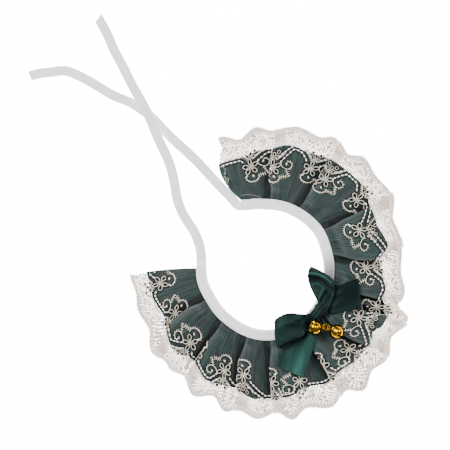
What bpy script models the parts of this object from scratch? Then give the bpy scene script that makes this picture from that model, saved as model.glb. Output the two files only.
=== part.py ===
"""A pleated ruffle collar for a cat, laid flat on a table.

The collar is a strip of green cloth gathered into knife pleats round a tape binding, with a
scalloped lace border under its hem, two tape ties, and a satin ribbon bow with two jingle bells.
X and Y lie in the plane of the table and +Z points up. The origin is under the middle of the
collar, on the table. Tables and sizes are in millimetres and degrees, and meshes in metres.
"""

import math
from collections import namedtuple

import bmesh
import bpy
from mathutils import Matrix, Vector

MM = 0.001
COLLECTION_NAME = "decorative_cat_collar"
CUTTER_COLLECTION_NAME = "cutters"

# Driving sizes
NECK_X = -2.6            # centre of the neck opening
NECK_Y = 2.0
CLOTH_WALL = 1.0         # every layer of cloth
SEAM_GAP = 0.3           # between two pieces that touch
CLOTH_LOW = 1.8          # height of the green cloth's middle where it lies lowest
INNER_BEND = 1.0         # radius of a pleat's hidden fold
OUTER_BEND = 2.1         # radius of the fold whose edge shows
PLEAT_HEIGHT = 2 * (INNER_BEND + OUTER_BEND)
PANEL_CREST = 1.3        # how far a panel bulges above its folded edge
LOW_CREST = 2.2          # how far a panel bulges that is tucked under at both sides
FOLD_FOOT = 2.5          # flat stretch before a fold
NECK_RAMP = 3.0          # half the width of a crease where it leaves the binding
RISE_LENGTH = 11.0       # the pleats rise to full height over this distance from the binding
TUCK_START = 4.0         # and begin to lap over each other here
TUCK_END = 19.0          # and lap fully from here on
FACE_STEP = 3.7          # degrees between the points across a panel
LACE_TUCK = 0.73         # the lace starts this share of the way from the binding to the green hem

BINDING_WIDTH = 8.8
BINDING_HEIGHT = 3 * CLOTH_WALL + 2 * SEAM_GAP
BINDING_STEP = 4.0       # degrees
BINDING_START = 109.5
BINDING_END = -183.0
NECK_EDGE_INSET = 1.8    # the gathered edge lies this far inside the binding's middle line

TAPE_WIDTH = 8.0
TAPE_WALL = 1.0
TAPE_STEP = 6.0
TAPE_TAPER = 7.0         # the tie thickens to the binding over this length
CROSSING = (-95.0, 124.0)
CROSSING_FLAT = 17.0     # half the length of the hump's top where one tie passes over the other
CROSSING_RAMP = 30.0

RIBBON_WALL = 1.0
KNOT_X = 39.0
KNOT_Y = -30.9
KNOT_LOW = 4.0
KNOT_HIGH = 13.6
KNOT_ALONG = 12.5        # size of the knot along the bow
KNOT_ACROSS = 9.5
KNOT_HEADING = 45.0
KNOT_ROUNDING = 2.8

BELL_RADIUS = 5.8
BELL_WALL = 0.6
BELL_RIM = 0.35          # bead where the bell's two halves are pressed together
BELL_Z = 14.4
BELL_SLOT = 1.5
BELL_SLOT_REACH = 70.0   # degrees from the bell's far end to the ends of its cross slot
BALL_RADIUS = 1.6
SHANK_RADIUS = 1.3
SHANK_WIRE = 0.4
SHANK_REACH = 7.0        # from the bell's centre to the middle of its shank loop
RING_X = 44.8
RING_Y = -42.3
RING_RADIUS = 2.2
RING_WIRE = 0.4
THREAD_WIRE = 0.5
THREAD_SPREAD = 1.3
THREAD_ROOT_X = 42.1     # on the knot's side
THREAD_ROOT_Y = -35.5

# Each fold of the ruffle: the angle of its edge at the neck, half-way and at the hem, the panel
# that lies on top (in clockwise order) and how far it laps over the other.
Fold = namedtuple("Fold", "neck middle hem top lap")
FOLDS = (
    Fold(88.4, 88.0, 87.2, "next", 8.0),
    Fold(64.0, 61.3, 60.5, "next", 8.0),
    Fold(37.5, 33.7, 32.1, "next", 8.0),
    Fold(11.0, 6.0, 7.5, "previous", 7.0),
    Fold(-7.5, -13.0, -14.0, "previous", 4.0),
    Fold(-17.0, -21.5, -21.0, "next", 4.0),
    Fold(-40.0, -40.4, -37.0, "previous", 6.0),
    Fold(-61.0, -59.3, -59.3, "previous", 8.0),
    Fold(-88.4, -88.0, -87.5, "previous", 8.0),
    Fold(-108.4, -106.8, -103.9, "previous", 8.0),
    Fold(-132.3, -129.3, -128.0, "previous", 8.0),
    Fold(-156.0, -154.0, -148.0, "previous", 8.0),
)
Edge = namedtuple("Edge", "neck middle hem")
START_EDGE = Edge(105.5, 113.3, 112.7)
FINISH_EDGE = Edge(-182.0, -181.0, -179.2)
FOLD_RADII = (56.0, 75.0, 98.0)
FOLD_RADIUS_LIMIT = 104.0

# Middle line of the binding: angle and radius
Station = namedtuple("Station", "angle radius")
BINDING_LINE = (
    Station(112.0, 55.8), Station(103.0, 54.0), Station(90.0, 52.8), Station(40.0, 52.2),
    Station(15.0, 50.4), Station(-10.0, 50.4), Station(-60.0, 51.2), Station(-90.0, 51.4),
    Station(-130.0, 49.3), Station(-150.0, 49.3), Station(-175.0, 51.4), Station(-184.0, 51.6),
)

# Hem of the green cloth: angle and radius
GREEN_HEM = (
    Station(114.0, 92.8), Station(104.0, 92.2), Station(90.0, 96.6), Station(78.0, 102.0),
    Station(70.0, 99.8), Station(60.0, 102.4), Station(50.0, 102.4), Station(40.0, 103.0),
    Station(31.0, 97.0), Station(22.0, 95.5), Station(12.0, 99.0), Station(5.5, 90.5),
    Station(-3.0, 93.2), Station(-9.0, 96.0), Station(-13.5, 94.5), Station(-18.0, 103.5),
    Station(-25.0, 102.4), Station(-30.0, 98.0), Station(-36.0, 101.0), Station(-44.0, 101.4),
    Station(-53.0, 98.8), Station(-62.0, 102.0), Station(-70.0, 98.6), Station(-80.0, 101.8),
    Station(-95.0, 102.6), Station(-105.0, 96.8), Station(-118.0, 99.2), Station(-129.0, 92.2),
    Station(-140.0, 96.6), Station(-156.0, 89.6), Station(-168.0, 93.0), Station(-183.0, 95.8),
)

# Scallops of the lace: the top of each lobe and the notch that follows it clockwise
Scallop = namedtuple("Scallop", "peak peak_radius notch notch_radius")
SCALLOPS = (
    Scallop(109.0, 113.4, 101.6, 107.4),
    Scallop(93.8, 115.4, 87.8, 112.6),
    Scallop(76.9, 117.9, 68.0, 115.4),
    Scallop(62.8, 120.3, 54.9, 114.0),
    Scallop(48.9, 120.0, 40.5, 116.4),
    Scallop(31.6, 118.3, 21.5, 109.6),
    Scallop(12.0, 111.2, 0.0, 108.2),
    Scallop(-9.0, 112.2, -14.2, 109.8),
    Scallop(-19.3, 120.8, -28.0, 113.6),
    Scallop(-36.8, 120.4, -43.0, 117.0),
    Scallop(-50.5, 123.3, -56.5, 114.8),
    Scallop(-64.0, 121.6, -73.5, 114.8),
    Scallop(-80.0, 121.0, -85.2, 113.6),
    Scallop(-93.0, 119.2, -100.8, 113.6),
    Scallop(-106.2, 118.0, -112.5, 109.2),
    Scallop(-120.4, 115.6, -127.7, 107.4),
    Scallop(-134.0, 110.6, -137.5, 108.8),
    Scallop(-145.3, 112.3, -153.5, 105.0),
    Scallop(-163.5, 107.7, -170.0, 106.0),
    Scallop(-178.5, 109.3, -184.0, 106.0),
)

# Middle lines of the two ties on the table, from the neck to the free end
TIE_LEFT_ROUTE = (
    (-54.2, 5.3), (-54.4, 12.0), (-55.3, 20.2), (-59.8, 32.5), (-67.6, 44.7), (-71.5, 53.0),
    (-74.0, 61.2), (-76.1, 73.4), (-79.2, 85.7), (-84.2, 97.9), (-89.6, 109.2), (-95.4, 123.4),
    (-102.1, 137.0), (-108.8, 148.7), (-116.4, 163.8), (-124.0, 178.2), (-129.5, 190.8),
    (-136.7, 204.1),
)
TIE_RIGHT_ROUTE = (
    (-21.6, 53.95), (-24.6, 53.9), (-27.9, 56.9), (-31.8, 61.6), (-38.8, 68.6), (-47.7, 78.3),
    (-58.4, 89.8), (-70.6, 101.2), (-78.8, 108.6), (-86.6, 116.8), (-94.4, 125.0),
    (-103.0, 131.2), (-108.8, 135.3), (-116.4, 138.6), (-124.8, 142.0), (-133.3, 147.0),
    (-141.7, 152.1), (-150.1, 156.7), (-158.6, 160.5), (-165.3, 161.8), (-175.4, 160.6),
    (-183.4, 159.6), (-191.4, 157.6),
)
TIE_LEFT_END_SLANT = 3.5   # the free end is cut obliquely by this much
TIE_RIGHT_END_SLANT = 1.0

# Sections of the bow's ribbons, from the knot outwards: the two edges of the ribbon
RibbonSection = namedtuple("RibbonSection", "ax ay az bx by bz")
TAIL_RIGHT = (
    RibbonSection(42.3, -23.6, 7.4, 47.6, -31.0, 7.6),
    RibbonSection(50.6, -13.2, 9.0, 51.6, -32.6, 10.2),
    RibbonSection(61.0, -7.6, 10.8, 62.6, -30.6, 11.4),
    RibbonSection(71.6, -4.0, 10.6, 73.7, -28.8, 11.2),
)
TAIL_LEFT = (
    RibbonSection(33.3, -36.7, 6.4, 40.7, -39.2, 6.8),
    RibbonSection(28.0, -41.0, 7.0, 39.2, -43.6, 7.0),
    RibbonSection(20.6, -47.4, 7.8, 38.0, -50.0, 10.0),
    RibbonSection(11.6, -60.2, 10.7, 33.8, -65.0, 11.0),
    RibbonSection(5.9, -74.4, 10.6, 27.3, -83.8, 8.6),
)
# A loop's ribbon leaves the knot on top, turns over at its far end and comes back below.
LOOP_LEFT = (
    RibbonSection(31.3, -32.5, 11.2, 35.5, -36.7, 9.9),
    RibbonSection(28.4, -33.0, 12.8, 30.2, -40.8, 10.4),
    RibbonSection(26.5, -32.8, 14.4, 29.6, -46.2, 12.4),
    RibbonSection(23.2, -32.6, 16.0, 26.6, -50.0, 15.2),
    RibbonSection(17.7, -32.0, 17.2, 19.0, -53.2, 16.8),
    RibbonSection(11.4, -33.2, 17.2, 12.2, -56.2, 16.8),
    RibbonSection(6.2, -36.0, 16.0, 7.5, -58.9, 15.8),
    RibbonSection(4.3, -38.4, 14.4, 6.0, -59.9, 14.4),
    RibbonSection(6.6, -37.6, 12.8, 7.8, -60.4, 13.0),
    RibbonSection(12.6, -35.2, 12.2, 15.0, -59.6, 12.8),
    RibbonSection(22.2, -34.4, 11.4, 24.8, -53.0, 11.8),
    RibbonSection(27.0, -33.6, 10.4, 29.2, -43.4, 8.9),
    RibbonSection(31.3, -32.5, 9.4, 35.5, -36.7, 8.2),
)
LOOP_RIGHT = (
    RibbonSection(40.5, -23.2, 11.2, 46.6, -29.3, 10.8),
    RibbonSection(38.9, -20.6, 13.2, 49.8, -22.2, 12.2),
    RibbonSection(36.0, -16.6, 15.8, 52.2, -16.0, 13.6),
    RibbonSection(33.4, -12.0, 18.0, 53.0, -11.6, 14.6),
    RibbonSection(31.8, -6.4, 19.2, 52.0, -8.8, 15.2),
    RibbonSection(31.0, -1.6, 19.0, 51.2, -6.8, 15.2),
    RibbonSection(31.8, 1.6, 17.8, 49.8, -4.6, 14.6),
    RibbonSection(33.6, 3.4, 15.4, 48.8, -4.2, 13.2),
    RibbonSection(35.0, 0.6, 13.0, 48.2, -5.8, 12.2),
    RibbonSection(37.0, -9.6, 11.4, 48.6, -13.6, 11.2),
    RibbonSection(39.2, -19.4, 10.2, 48.6, -22.6, 10.2),
    RibbonSection(40.5, -23.2, 9.4, 46.6, -29.3, 9.2),
)
TAIL_STEPS = 3           # between sections
TAIL_COLUMNS = 5
LOOP_STEPS = 2
LOOP_COLUMNS = 6
RIBBON_WAVE = 0.4

# Colours: base colour, roughness, metallic
FINISHES = {
    "green_cloth": ((0.055, 0.122, 0.112), 0.55, 0.0),
    "cream_lace": ((0.80, 0.75, 0.68), 0.80, 0.0),
    "white_tape": ((0.72, 0.70, 0.73), 0.70, 0.0),
    "green_satin": ((0.008, 0.035, 0.030), 0.30, 0.0),
    "gold_brass": ((0.80, 0.46, 0.04), 0.18, 1.0),
    "steel_ball": ((0.45, 0.45, 0.46), 0.30, 1.0),
}


def smooth(value):
    """Rise from 0 to 1 with level ends."""
    value = min(1.0, max(0.0, value))
    return value * value * (3.0 - 2.0 * value)


def blend(first, second, share):
    """The value a share of the way from the first to the second."""
    return first + (second - first) * share


def along_table(table, angle):
    """Radius at an angle, eased between the rows of a table that runs clockwise."""
    for before, after in zip(table, table[1:]):
        if angle >= after.angle:
            share = (before.angle - angle) / (before.angle - after.angle)
            return blend(before.radius, after.radius, smooth(share))
    return table[-1].radius


def scallop_stations():
    """The lace hem as one table of stations."""
    stations = []
    for row in SCALLOPS:
        stations.append(Station(row.peak, row.peak_radius))
        stations.append(Station(row.notch, row.notch_radius))
    return (Station(114.0, 109.0), *stations)


LACE_HEM = scallop_stations()


def edge_angle(row, radius):
    """Angle of a fold's edge, or of a free edge, on a curve through its three angles."""
    reach = min(radius, FOLD_RADIUS_LIMIT)
    near, half, far = FOLD_RADII
    neck_part = row.neck * (reach - half) * (reach - far) / ((near - half) * (near - far))
    middle_part = row.middle * (reach - near) * (reach - far) / ((half - near) * (half - far))
    hem_part = row.hem * (reach - near) * (reach - half) / ((far - near) * (far - half))
    return neck_part + middle_part + hem_part


def folded_section(lap):
    """A pleat's fold as (across, height) points, from the low panel up to the high one."""
    points = [(-FOLD_FOOT, 0.0), (lap, 0.0)]
    for turn in (60, 120, 180):
        angle = math.radians(turn)
        across = lap + INNER_BEND * math.sin(angle)
        points.append((across, INNER_BEND * (1.0 - math.cos(angle))))
    points.append((OUTER_BEND, 2 * INNER_BEND))
    for turn in (45, 90, 135, 180):
        angle = math.radians(turn)
        across = OUTER_BEND * (1.0 - math.sin(angle))
        points.append((across, 2 * INNER_BEND + OUTER_BEND * (1.0 - math.cos(angle))))
    return points


def fold_point(fold, index, distance):
    """One point of a fold, at a distance outwards from the binding: (across, height)."""
    folded = folded_section(fold.lap)
    if fold.top == "previous":
        folded = [(-across, height) for across, height in reversed(folded)]
    share = index / (len(folded) - 1)
    climb = share if fold.top == "next" else 1.0 - share
    ramp = (blend(-NECK_RAMP, NECK_RAMP, share), PLEAT_HEIGHT * climb)
    tuck = smooth((distance - TUCK_START) / (TUCK_END - TUCK_START))
    across = blend(ramp[0], folded[index][0], tuck)
    return across, blend(ramp[1], folded[index][1], tuck)


def panel_height(start_high, finish_high, share):
    """Height of a panel, a share of the way across it clockwise."""
    if start_high and finish_high:
        return PLEAT_HEIGHT + PANEL_CREST * math.sin(math.pi * share)
    if not start_high and not finish_high:
        return LOW_CREST * math.sin(math.pi * share)
    fall = share if start_high else 1.0 - share
    crest = 2.0 * PANEL_CREST * math.sin(math.pi * fall) * (1.0 - fall)
    return PLEAT_HEIGHT * (1.0 - smooth(fall)) + crest


def cloth_columns():
    """Every line of points that runs from the neck to the hem, in clockwise order.

    A column is a function of the radius that gives the angle and the height above CLOTH_LOW.
    """
    columns = []
    rows = (START_EDGE, *FOLDS, FINISH_EDGE)
    for number, (before, after) in enumerate(zip(rows, rows[1:])):
        if number > 0:
            last = len(folded_section(before.lap)) - 1
            for index in range(last + 1):
                columns.append(fold_column(before, index))
        width = before.middle - after.middle
        steps = max(4, round(width / FACE_STEP))
        first_step = 0 if number == 0 else 1
        last_step = steps if number == len(rows) - 2 else steps - 1
        for step in range(first_step, last_step + 1):
            columns.append(panel_column(before, after, step / steps))
    return columns


def fold_column(fold, index):
    """A column inside a fold."""
    def place(radius):
        distance = radius - outer_binding_radius(fold.neck)
        across, height = fold_point(fold, index, distance)
        angle = edge_angle(fold, radius) - math.degrees(across / radius)
        return angle, height * smooth(distance / RISE_LENGTH)
    return place


def panel_column(before, after, share):
    """A column on the face of a panel, between the folds before and after it."""
    start_high = getattr(before, "top", None) == "next"
    finish_high = getattr(after, "top", None) == "previous"

    def place(radius):
        distance = radius - outer_binding_radius(before.neck)
        start = edge_angle(before, radius)
        finish = edge_angle(after, radius)
        if isinstance(before, Fold):
            last = len(folded_section(before.lap)) - 1
            start -= math.degrees(fold_point(before, last, distance)[0] / radius)
        if isinstance(after, Fold):
            finish -= math.degrees(fold_point(after, 0, distance)[0] / radius)
        height = panel_height(start_high, finish_high, share)
        return blend(start, finish, share), height * smooth(distance / RISE_LENGTH)
    return place


def outer_binding_radius(angle):
    """Radius of the binding's outer edge."""
    return along_table(BINDING_LINE, angle) + BINDING_WIDTH / 2


def green_hem_radius(angle):
    """Radius of the green cloth's hem."""
    return along_table(GREEN_HEM, angle)


def polar(angle, radius, height):
    """A point from its angle and radius about the neck opening."""
    turn = math.radians(angle)
    return Vector((NECK_X + radius * math.cos(turn), NECK_Y + radius * math.sin(turn), height))


def row_line(inner_radius, outer_radius, share):
    """A line a share of the way between two lines; a line gives the radius at an angle."""
    def radius_at(angle):
        return blend(inner_radius(angle), outer_radius(angle), share)
    return radius_at


def cloth_sheet(columns, lines):
    """A grid of points where the lines cross the columns of the green cloth."""
    grid = []
    for radius_at in lines:
        row = []
        for column in columns:
            guess = radius_at(column(FOLD_RADII[1])[0])
            radius = radius_at(column(guess)[0])
            angle, height = column(radius)
            row.append(polar(angle, radius, CLOTH_LOW + height))
        grid.append(row)
    return grid


def moved_out(grid, distance):
    """The grid with every point moved along the sheet's upward side."""
    moved = []
    last_row = len(grid) - 1
    last_column = len(grid[0]) - 1
    for row, line in enumerate(grid):
        moved_line = []
        for column, point in enumerate(line):
            along = line[min(column + 1, last_column)] - line[max(column - 1, 0)]
            outward = grid[min(row + 1, last_row)][column] - grid[max(row - 1, 0)][column]
            normal = along.cross(outward).normalized()
            moved_line.append(point + normal * distance)
        moved.append(moved_line)
    return moved


def part_collection(name):
    """A collection of the scene, made once."""
    collection = bpy.data.collections.get(name)
    if collection is None:
        collection = bpy.data.collections.new(name)
        bpy.context.scene.collection.children.link(collection)
    return collection


def finish_material(name):
    """A Principled material from the table of finishes, made once."""
    material = bpy.data.materials.get(name)
    if material is not None:
        return material
    colour, roughness, metallic = FINISHES[name]
    material = bpy.data.materials.new(name)
    material.use_nodes = True
    shader = material.node_tree.nodes["Principled BSDF"]
    shader.inputs["Base Color"].default_value = (*colour, 1.0)
    shader.inputs["Roughness"].default_value = roughness
    shader.inputs["Metallic"].default_value = metallic
    material.diffuse_color = (*colour, 1.0)
    return material


def add_object(name, mesh, finish, collection=COLLECTION_NAME):
    """Put a mesh in a collection as a named object."""
    mesh.name = name
    thing = bpy.data.objects.new(name, mesh)
    thing.data.materials.clear()
    thing.data.materials.append(finish_material(finish))
    part_collection(collection).objects.link(thing)
    return thing


def mesh_from_bmesh(bm):
    """Turn a bmesh into a mesh and free it."""
    mesh = bpy.data.meshes.new("mesh")
    bm.to_mesh(mesh)
    bm.free()
    return mesh


def sheet_object(name, grid, wall, finish):
    """A wall of even thickness on an open grid of points given in millimetres."""
    bm = bmesh.new()
    rows = [[bm.verts.new(point * MM) for point in line] for line in grid]
    for near, far in zip(rows, rows[1:]):
        for column in range(len(near) - 1):
            corners = (near[column], far[column], far[column + 1], near[column + 1])
            bm.faces.new(corners)
    thing = add_object(name, mesh_from_bmesh(bm), finish)
    solidify = thing.modifiers.new("wall", "SOLIDIFY")
    solidify.thickness = wall * MM
    solidify.offset = 0.0
    solidify.use_even_offset = True
    solidify.use_quality_normals = True
    thing.data.shade_smooth()
    return thing


def swept_object(name, frames, sections, finish):
    """A closed solid through sections of (across, up) points set on frames."""
    bm = bmesh.new()
    rings = []
    for (origin, across, up), section in zip(frames, sections):
        ring = [bm.verts.new((origin + across * a + up * b) * MM) for a, b in section]
        rings.append(ring)
    for near, far in zip(rings, rings[1:]):
        for index in range(len(near)):
            following = (index + 1) % len(near)
            bm.faces.new((near[index], near[following], far[following], far[index]))
    bm.faces.new(tuple(reversed(rings[0])))
    bm.faces.new(rings[-1])
    bmesh.ops.recalc_face_normals(bm, faces=bm.faces)
    bmesh.ops.triangulate(bm, faces=[face for face in bm.faces if len(face.verts) > 4])
    return add_object(name, mesh_from_bmesh(bm), finish)


def build_ruffle(columns):
    """The pleated green cloth, from inside the binding to its scalloped hem."""
    def neck_edge(angle):
        return along_table(BINDING_LINE, angle) - NECK_EDGE_INSET

    shares = (0.0, 0.09, 0.18, 0.3, 0.48, LACE_TUCK, 1.0)
    lines = [row_line(outer_binding_radius, green_hem_radius, share) for share in shares]
    grid = cloth_sheet(columns, [neck_edge, *lines])
    return sheet_object("ruffle", grid, CLOTH_WALL, "green_cloth")


def build_lace_border(columns):
    """The lace, made from the green cloth's points and moved under them."""
    def lace_hem(angle):
        return along_table(LACE_HEM, angle)

    tucked_edge = row_line(outer_binding_radius, green_hem_radius, LACE_TUCK)
    half_way = row_line(green_hem_radius, lace_hem, 0.5)
    grid = cloth_sheet(columns, [tucked_edge, green_hem_radius, half_way, lace_hem])
    under = moved_out(grid, -(CLOTH_WALL + SEAM_GAP))
    return sheet_object("lace_border", under, CLOTH_WALL, "cream_lace")


def binding_section():
    """Folded tape as (across, up) points: two flanges with the gathered cloth's groove between."""
    half = BINDING_WIDTH / 2
    fold = 0.8
    groove_end = -half + 1.4
    upper = BINDING_HEIGHT - CLOTH_WALL
    return (
        (half, 0.0), (half, CLOTH_WALL), (groove_end, CLOTH_WALL), (groove_end, upper),
        (half, upper), (half, BINDING_HEIGHT), (-half + fold, BINDING_HEIGHT),
        (-half, BINDING_HEIGHT - fold), (-half, fold), (-half + fold, 0.0),
    )


def binding_point(angle):
    """A point of the binding's middle line, on the table."""
    return polar(angle, along_table(BINDING_LINE, angle), 0.0)


def build_neck_binding():
    """The folded tape round the neck."""
    steps = round((BINDING_START - BINDING_END) / BINDING_STEP)
    frames = []
    for step in range(steps + 1):
        angle = blend(BINDING_START, BINDING_END, step / steps)
        heading = binding_point(angle - 1.0) - binding_point(angle + 1.0)
        across = Vector((-heading.y, heading.x, 0.0)).normalized()
        frames.append((binding_point(angle), across, Vector((0, 0, 1))))
    sections = [binding_section()] * len(frames)
    return swept_object("neck_binding", frames, sections, "white_tape")


def smooth_route(points, step):
    """Points about a step apart on a smooth curve through the route's points."""
    knots = [Vector(point) for point in points]
    knots = [2 * knots[0] - knots[1], *knots, 2 * knots[-1] - knots[-2]]
    route = []
    for p0, p1, p2, p3 in zip(knots, knots[1:], knots[2:], knots[3:]):
        count = max(1, round((p2 - p1).length / step))
        for index in range(count):
            t = index / count
            bend = (2 * p0 - 5 * p1 + 4 * p2 - p3) * t * t + (3 * p1 - p0 - 3 * p2 + p3) * t ** 3
            route.append((2 * p1 + (p2 - p0) * t + bend) / 2)
    route.append(knots[-2])
    return route


def crossing_lift(point):
    """How far the upper tie is raised near the crossing."""
    distance = (point - Vector(CROSSING)).length
    lift = TAPE_WALL + SEAM_GAP
    return lift * (1.0 - smooth((distance - CROSSING_FLAT) / CROSSING_RAMP))


def build_tie(name, points, slant, passes_over):
    """A flat tape tie that lies on the table."""
    route = smooth_route(points, TAPE_STEP)
    frames = []
    sections = []
    travelled = 0.0
    last = len(route) - 1
    for index, point in enumerate(route):
        before = route[max(index - 1, 0)]
        after = route[min(index + 1, last)]
        travelled += (point - before).length
        heading = (after - before).normalized()
        across = Vector((heading.y, -heading.x, 0.0))
        lift = crossing_lift(point) if passes_over else 0.0
        frames.append((Vector((point.x, point.y, lift)), across, Vector((0, 0, 1))))
        spare = BINDING_HEIGHT - TAPE_WALL
        wall = TAPE_WALL + spare * (1.0 - smooth(travelled / TAPE_TAPER))
        half = TAPE_WIDTH / 2
        sections.append(((half, 0.0), (half, wall), (-half, wall), (-half, 0.0)))
    tie = swept_object(name, frames, sections, "white_tape")
    slant_free_end(tie, frames[-1], slant)
    return tie


def slant_free_end(tie, frame, slant):
    """Cut the tie's free end obliquely by moving its last four corners along the tape."""
    origin, across, up = frame
    heading = up.cross(across).normalized()
    for vertex in tie.data.vertices:
        offset = vertex.co / MM - origin
        if abs(offset.dot(heading)) < 0.01 and abs(offset.dot(across)) < TAPE_WIDTH:
            vertex.co += heading * slant * MM * offset.dot(across) / TAPE_WIDTH


def ribbon_lines(table, steps):
    """The two edges of a ribbon at every step, on smooth curves through its sections."""
    first_knots = [Vector((row.ax, row.ay, row.az)) for row in table]
    second_knots = [Vector((row.bx, row.by, row.bz)) for row in table]
    first = curve_points(first_knots, steps)
    second = curve_points(second_knots, steps)
    return list(zip(first, second))


def curve_points(knots, steps):
    """Points on a smooth curve through the knots, with equal counts between them."""
    before = 2 * knots[0] - knots[1]
    after = 2 * knots[-1] - knots[-2]
    padded = (before, *knots, after)
    points = []
    for a, b, c, d in zip(padded, padded[1:], padded[2:], padded[3:]):
        for step in range(steps):
            t = step / steps
            square = (2 * a - 5 * b + 4 * c - d) * t * t
            cube = (3 * b - a - 3 * c + d) * t ** 3
            points.append((2 * b + (c - a) * t + square + cube) / 2)
    points.append(knots[-1].copy())
    return points


def build_ribbon(name, table, steps, columns):
    """A tail or a loop of the bow: a sheet of ribbon through its cross sections."""
    lines = ribbon_lines(table, steps)
    grid = []
    for number, (first, second) in enumerate(lines):
        wave = RIBBON_WAVE * math.sin(math.pi * number / (len(lines) - 1))
        line = []
        for column in range(columns):
            t = column / (columns - 1)
            point = first.lerp(second, t)
            point.z += wave * math.sin(2.0 * math.pi * t)
            line.append(point)
        grid.append(line)
    return sheet_object(name, grid, RIBBON_WALL, "green_satin")


def build_knot():
    """The ribbon wrapped round the middle of the bow."""
    bpy.ops.mesh.primitive_cube_add(size=MM)
    knot = bpy.context.object
    size = (KNOT_ALONG, KNOT_ACROSS, KNOT_HIGH - KNOT_LOW)
    knot.data.transform(Matrix.Diagonal((*size, 1.0)))
    knot.location = Vector((KNOT_X, KNOT_Y, (KNOT_LOW + KNOT_HIGH) / 2)) * MM
    knot.rotation_euler = (0.0, 0.0, math.radians(KNOT_HEADING))
    bevel = knot.modifiers.new("rounding", "BEVEL")
    bevel.width = KNOT_ROUNDING * MM
    bevel.segments = 3
    return adopt(knot, "bow_knot", "green_satin")


def adopt(thing, name, finish, collection=COLLECTION_NAME):
    """Name a new primitive, give it its material and move it to its collection."""
    thing.name = name
    thing.data.name = name
    thing.data.materials.clear()
    thing.data.materials.append(finish_material(finish))
    for owner in list(thing.users_collection):
        owner.objects.unlink(thing)
    part_collection(collection).objects.link(thing)
    return thing


def cutter(thing, name):
    """Mark an object as a cutter that isn't part of the collar."""
    adopt(thing, name, "steel_ball", CUTTER_COLLECTION_NAME)
    thing.hide_render = True
    thing.display_type = "WIRE"
    return thing


def boolean(thing, other, operation):
    """Join another object to this one, or cut it away."""
    modifier = thing.modifiers.new(operation.lower(), "BOOLEAN")
    modifier.operation = operation
    modifier.object = other
    modifier.solver = "EXACT"


def sphere(radius, segments, rings):
    """A sphere at the origin with its poles on Z."""
    bpy.ops.mesh.primitive_uv_sphere_add(segments=segments, ring_count=rings, radius=radius * MM)
    return bpy.context.object


def build_bell(side, x, y, roll):
    """A hollow jingle bell with its shank loop towards the ring, its slot away from it."""
    centre = Vector((x, y, BELL_Z))
    towards = (Vector((RING_X, RING_Y, BELL_Z)) - centre).normalized()
    turn = towards.to_track_quat("Z", "Y").to_matrix().to_4x4()
    frame = Matrix.Translation(centre * MM) @ turn
    shell = adopt(sphere(BELL_RADIUS, 20, 10), f"bell_{side}", "gold_brass")
    for vertex in shell.data.vertices:
        if abs(vertex.co.z) < 0.01 * MM:
            vertex.co *= 1.0 + BELL_RIM / BELL_RADIUS
    shell.matrix_world = frame

    bpy.ops.mesh.primitive_torus_add(
        major_radius=SHANK_RADIUS * MM, minor_radius=SHANK_WIRE * MM,
        major_segments=12, minor_segments=6)
    shank = cutter(bpy.context.object, f"shank_{side}")
    shank.matrix_world = upright_ring(centre, towards, SHANK_REACH)
    boolean(shell, shank, "UNION")

    hollow = cutter(sphere(BELL_RADIUS - BELL_WALL, 16, 8), f"hollow_{side}")
    hollow.matrix_world = frame
    boolean(shell, hollow, "DIFFERENCE")

    reach = math.radians(BELL_SLOT_REACH)
    slot_length = 2 * BELL_RADIUS * math.sin(reach)
    slot_depth = 2 * BELL_RADIUS * (1.0 - math.cos(reach))
    for number, turn_deg in enumerate((roll, roll + 90.0)):
        bpy.ops.mesh.primitive_cube_add(size=1.0)
        slot = cutter(bpy.context.object, f"slot_{side}_{number}")
        slot.data.transform(Matrix.Diagonal((slot_length, BELL_SLOT, slot_depth, 1.0)))
        slot.data.transform(Matrix.Scale(MM, 4))
        drop = Matrix.Translation((0, 0, -BELL_RADIUS * MM))
        slot.matrix_world = frame @ Matrix.Rotation(math.radians(turn_deg), 4, "Z") @ drop
        boolean(shell, slot, "DIFFERENCE")
    shell.data.shade_smooth()
    shell.data.set_sharp_from_angle(angle=math.radians(40))
    return shell


def upright_ring(centre, towards, reach):
    """Place of a ring that stands upright in the plane of its bell's axis."""
    axis = towards.cross(Vector((0, 0, 1))).normalized()
    turn = axis.to_track_quat("Z", "Y").to_matrix().to_4x4()
    return Matrix.Translation((centre + towards * reach) * MM) @ turn


def build_ball(side, x, y):
    """The loose ball inside a bell, at the bottom of its hollow."""
    ball = adopt(sphere(BALL_RADIUS, 10, 6), f"bell_{side}_ball", "steel_ball")
    floor = BELL_Z - BELL_RADIUS + BELL_WALL + SEAM_GAP + 0.1
    ball.location = Vector((x, y, floor + BALL_RADIUS)) * MM
    return ball


def build_bell_ring():
    """The small ring that carries both bells."""
    bpy.ops.mesh.primitive_torus_add(
        major_radius=RING_RADIUS * MM, minor_radius=RING_WIRE * MM,
        major_segments=20, minor_segments=6)
    ring = adopt(bpy.context.object, "bell_ring", "gold_brass")
    ring.location = Vector((RING_X, RING_Y, BELL_Z)) * MM
    return ring


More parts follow.
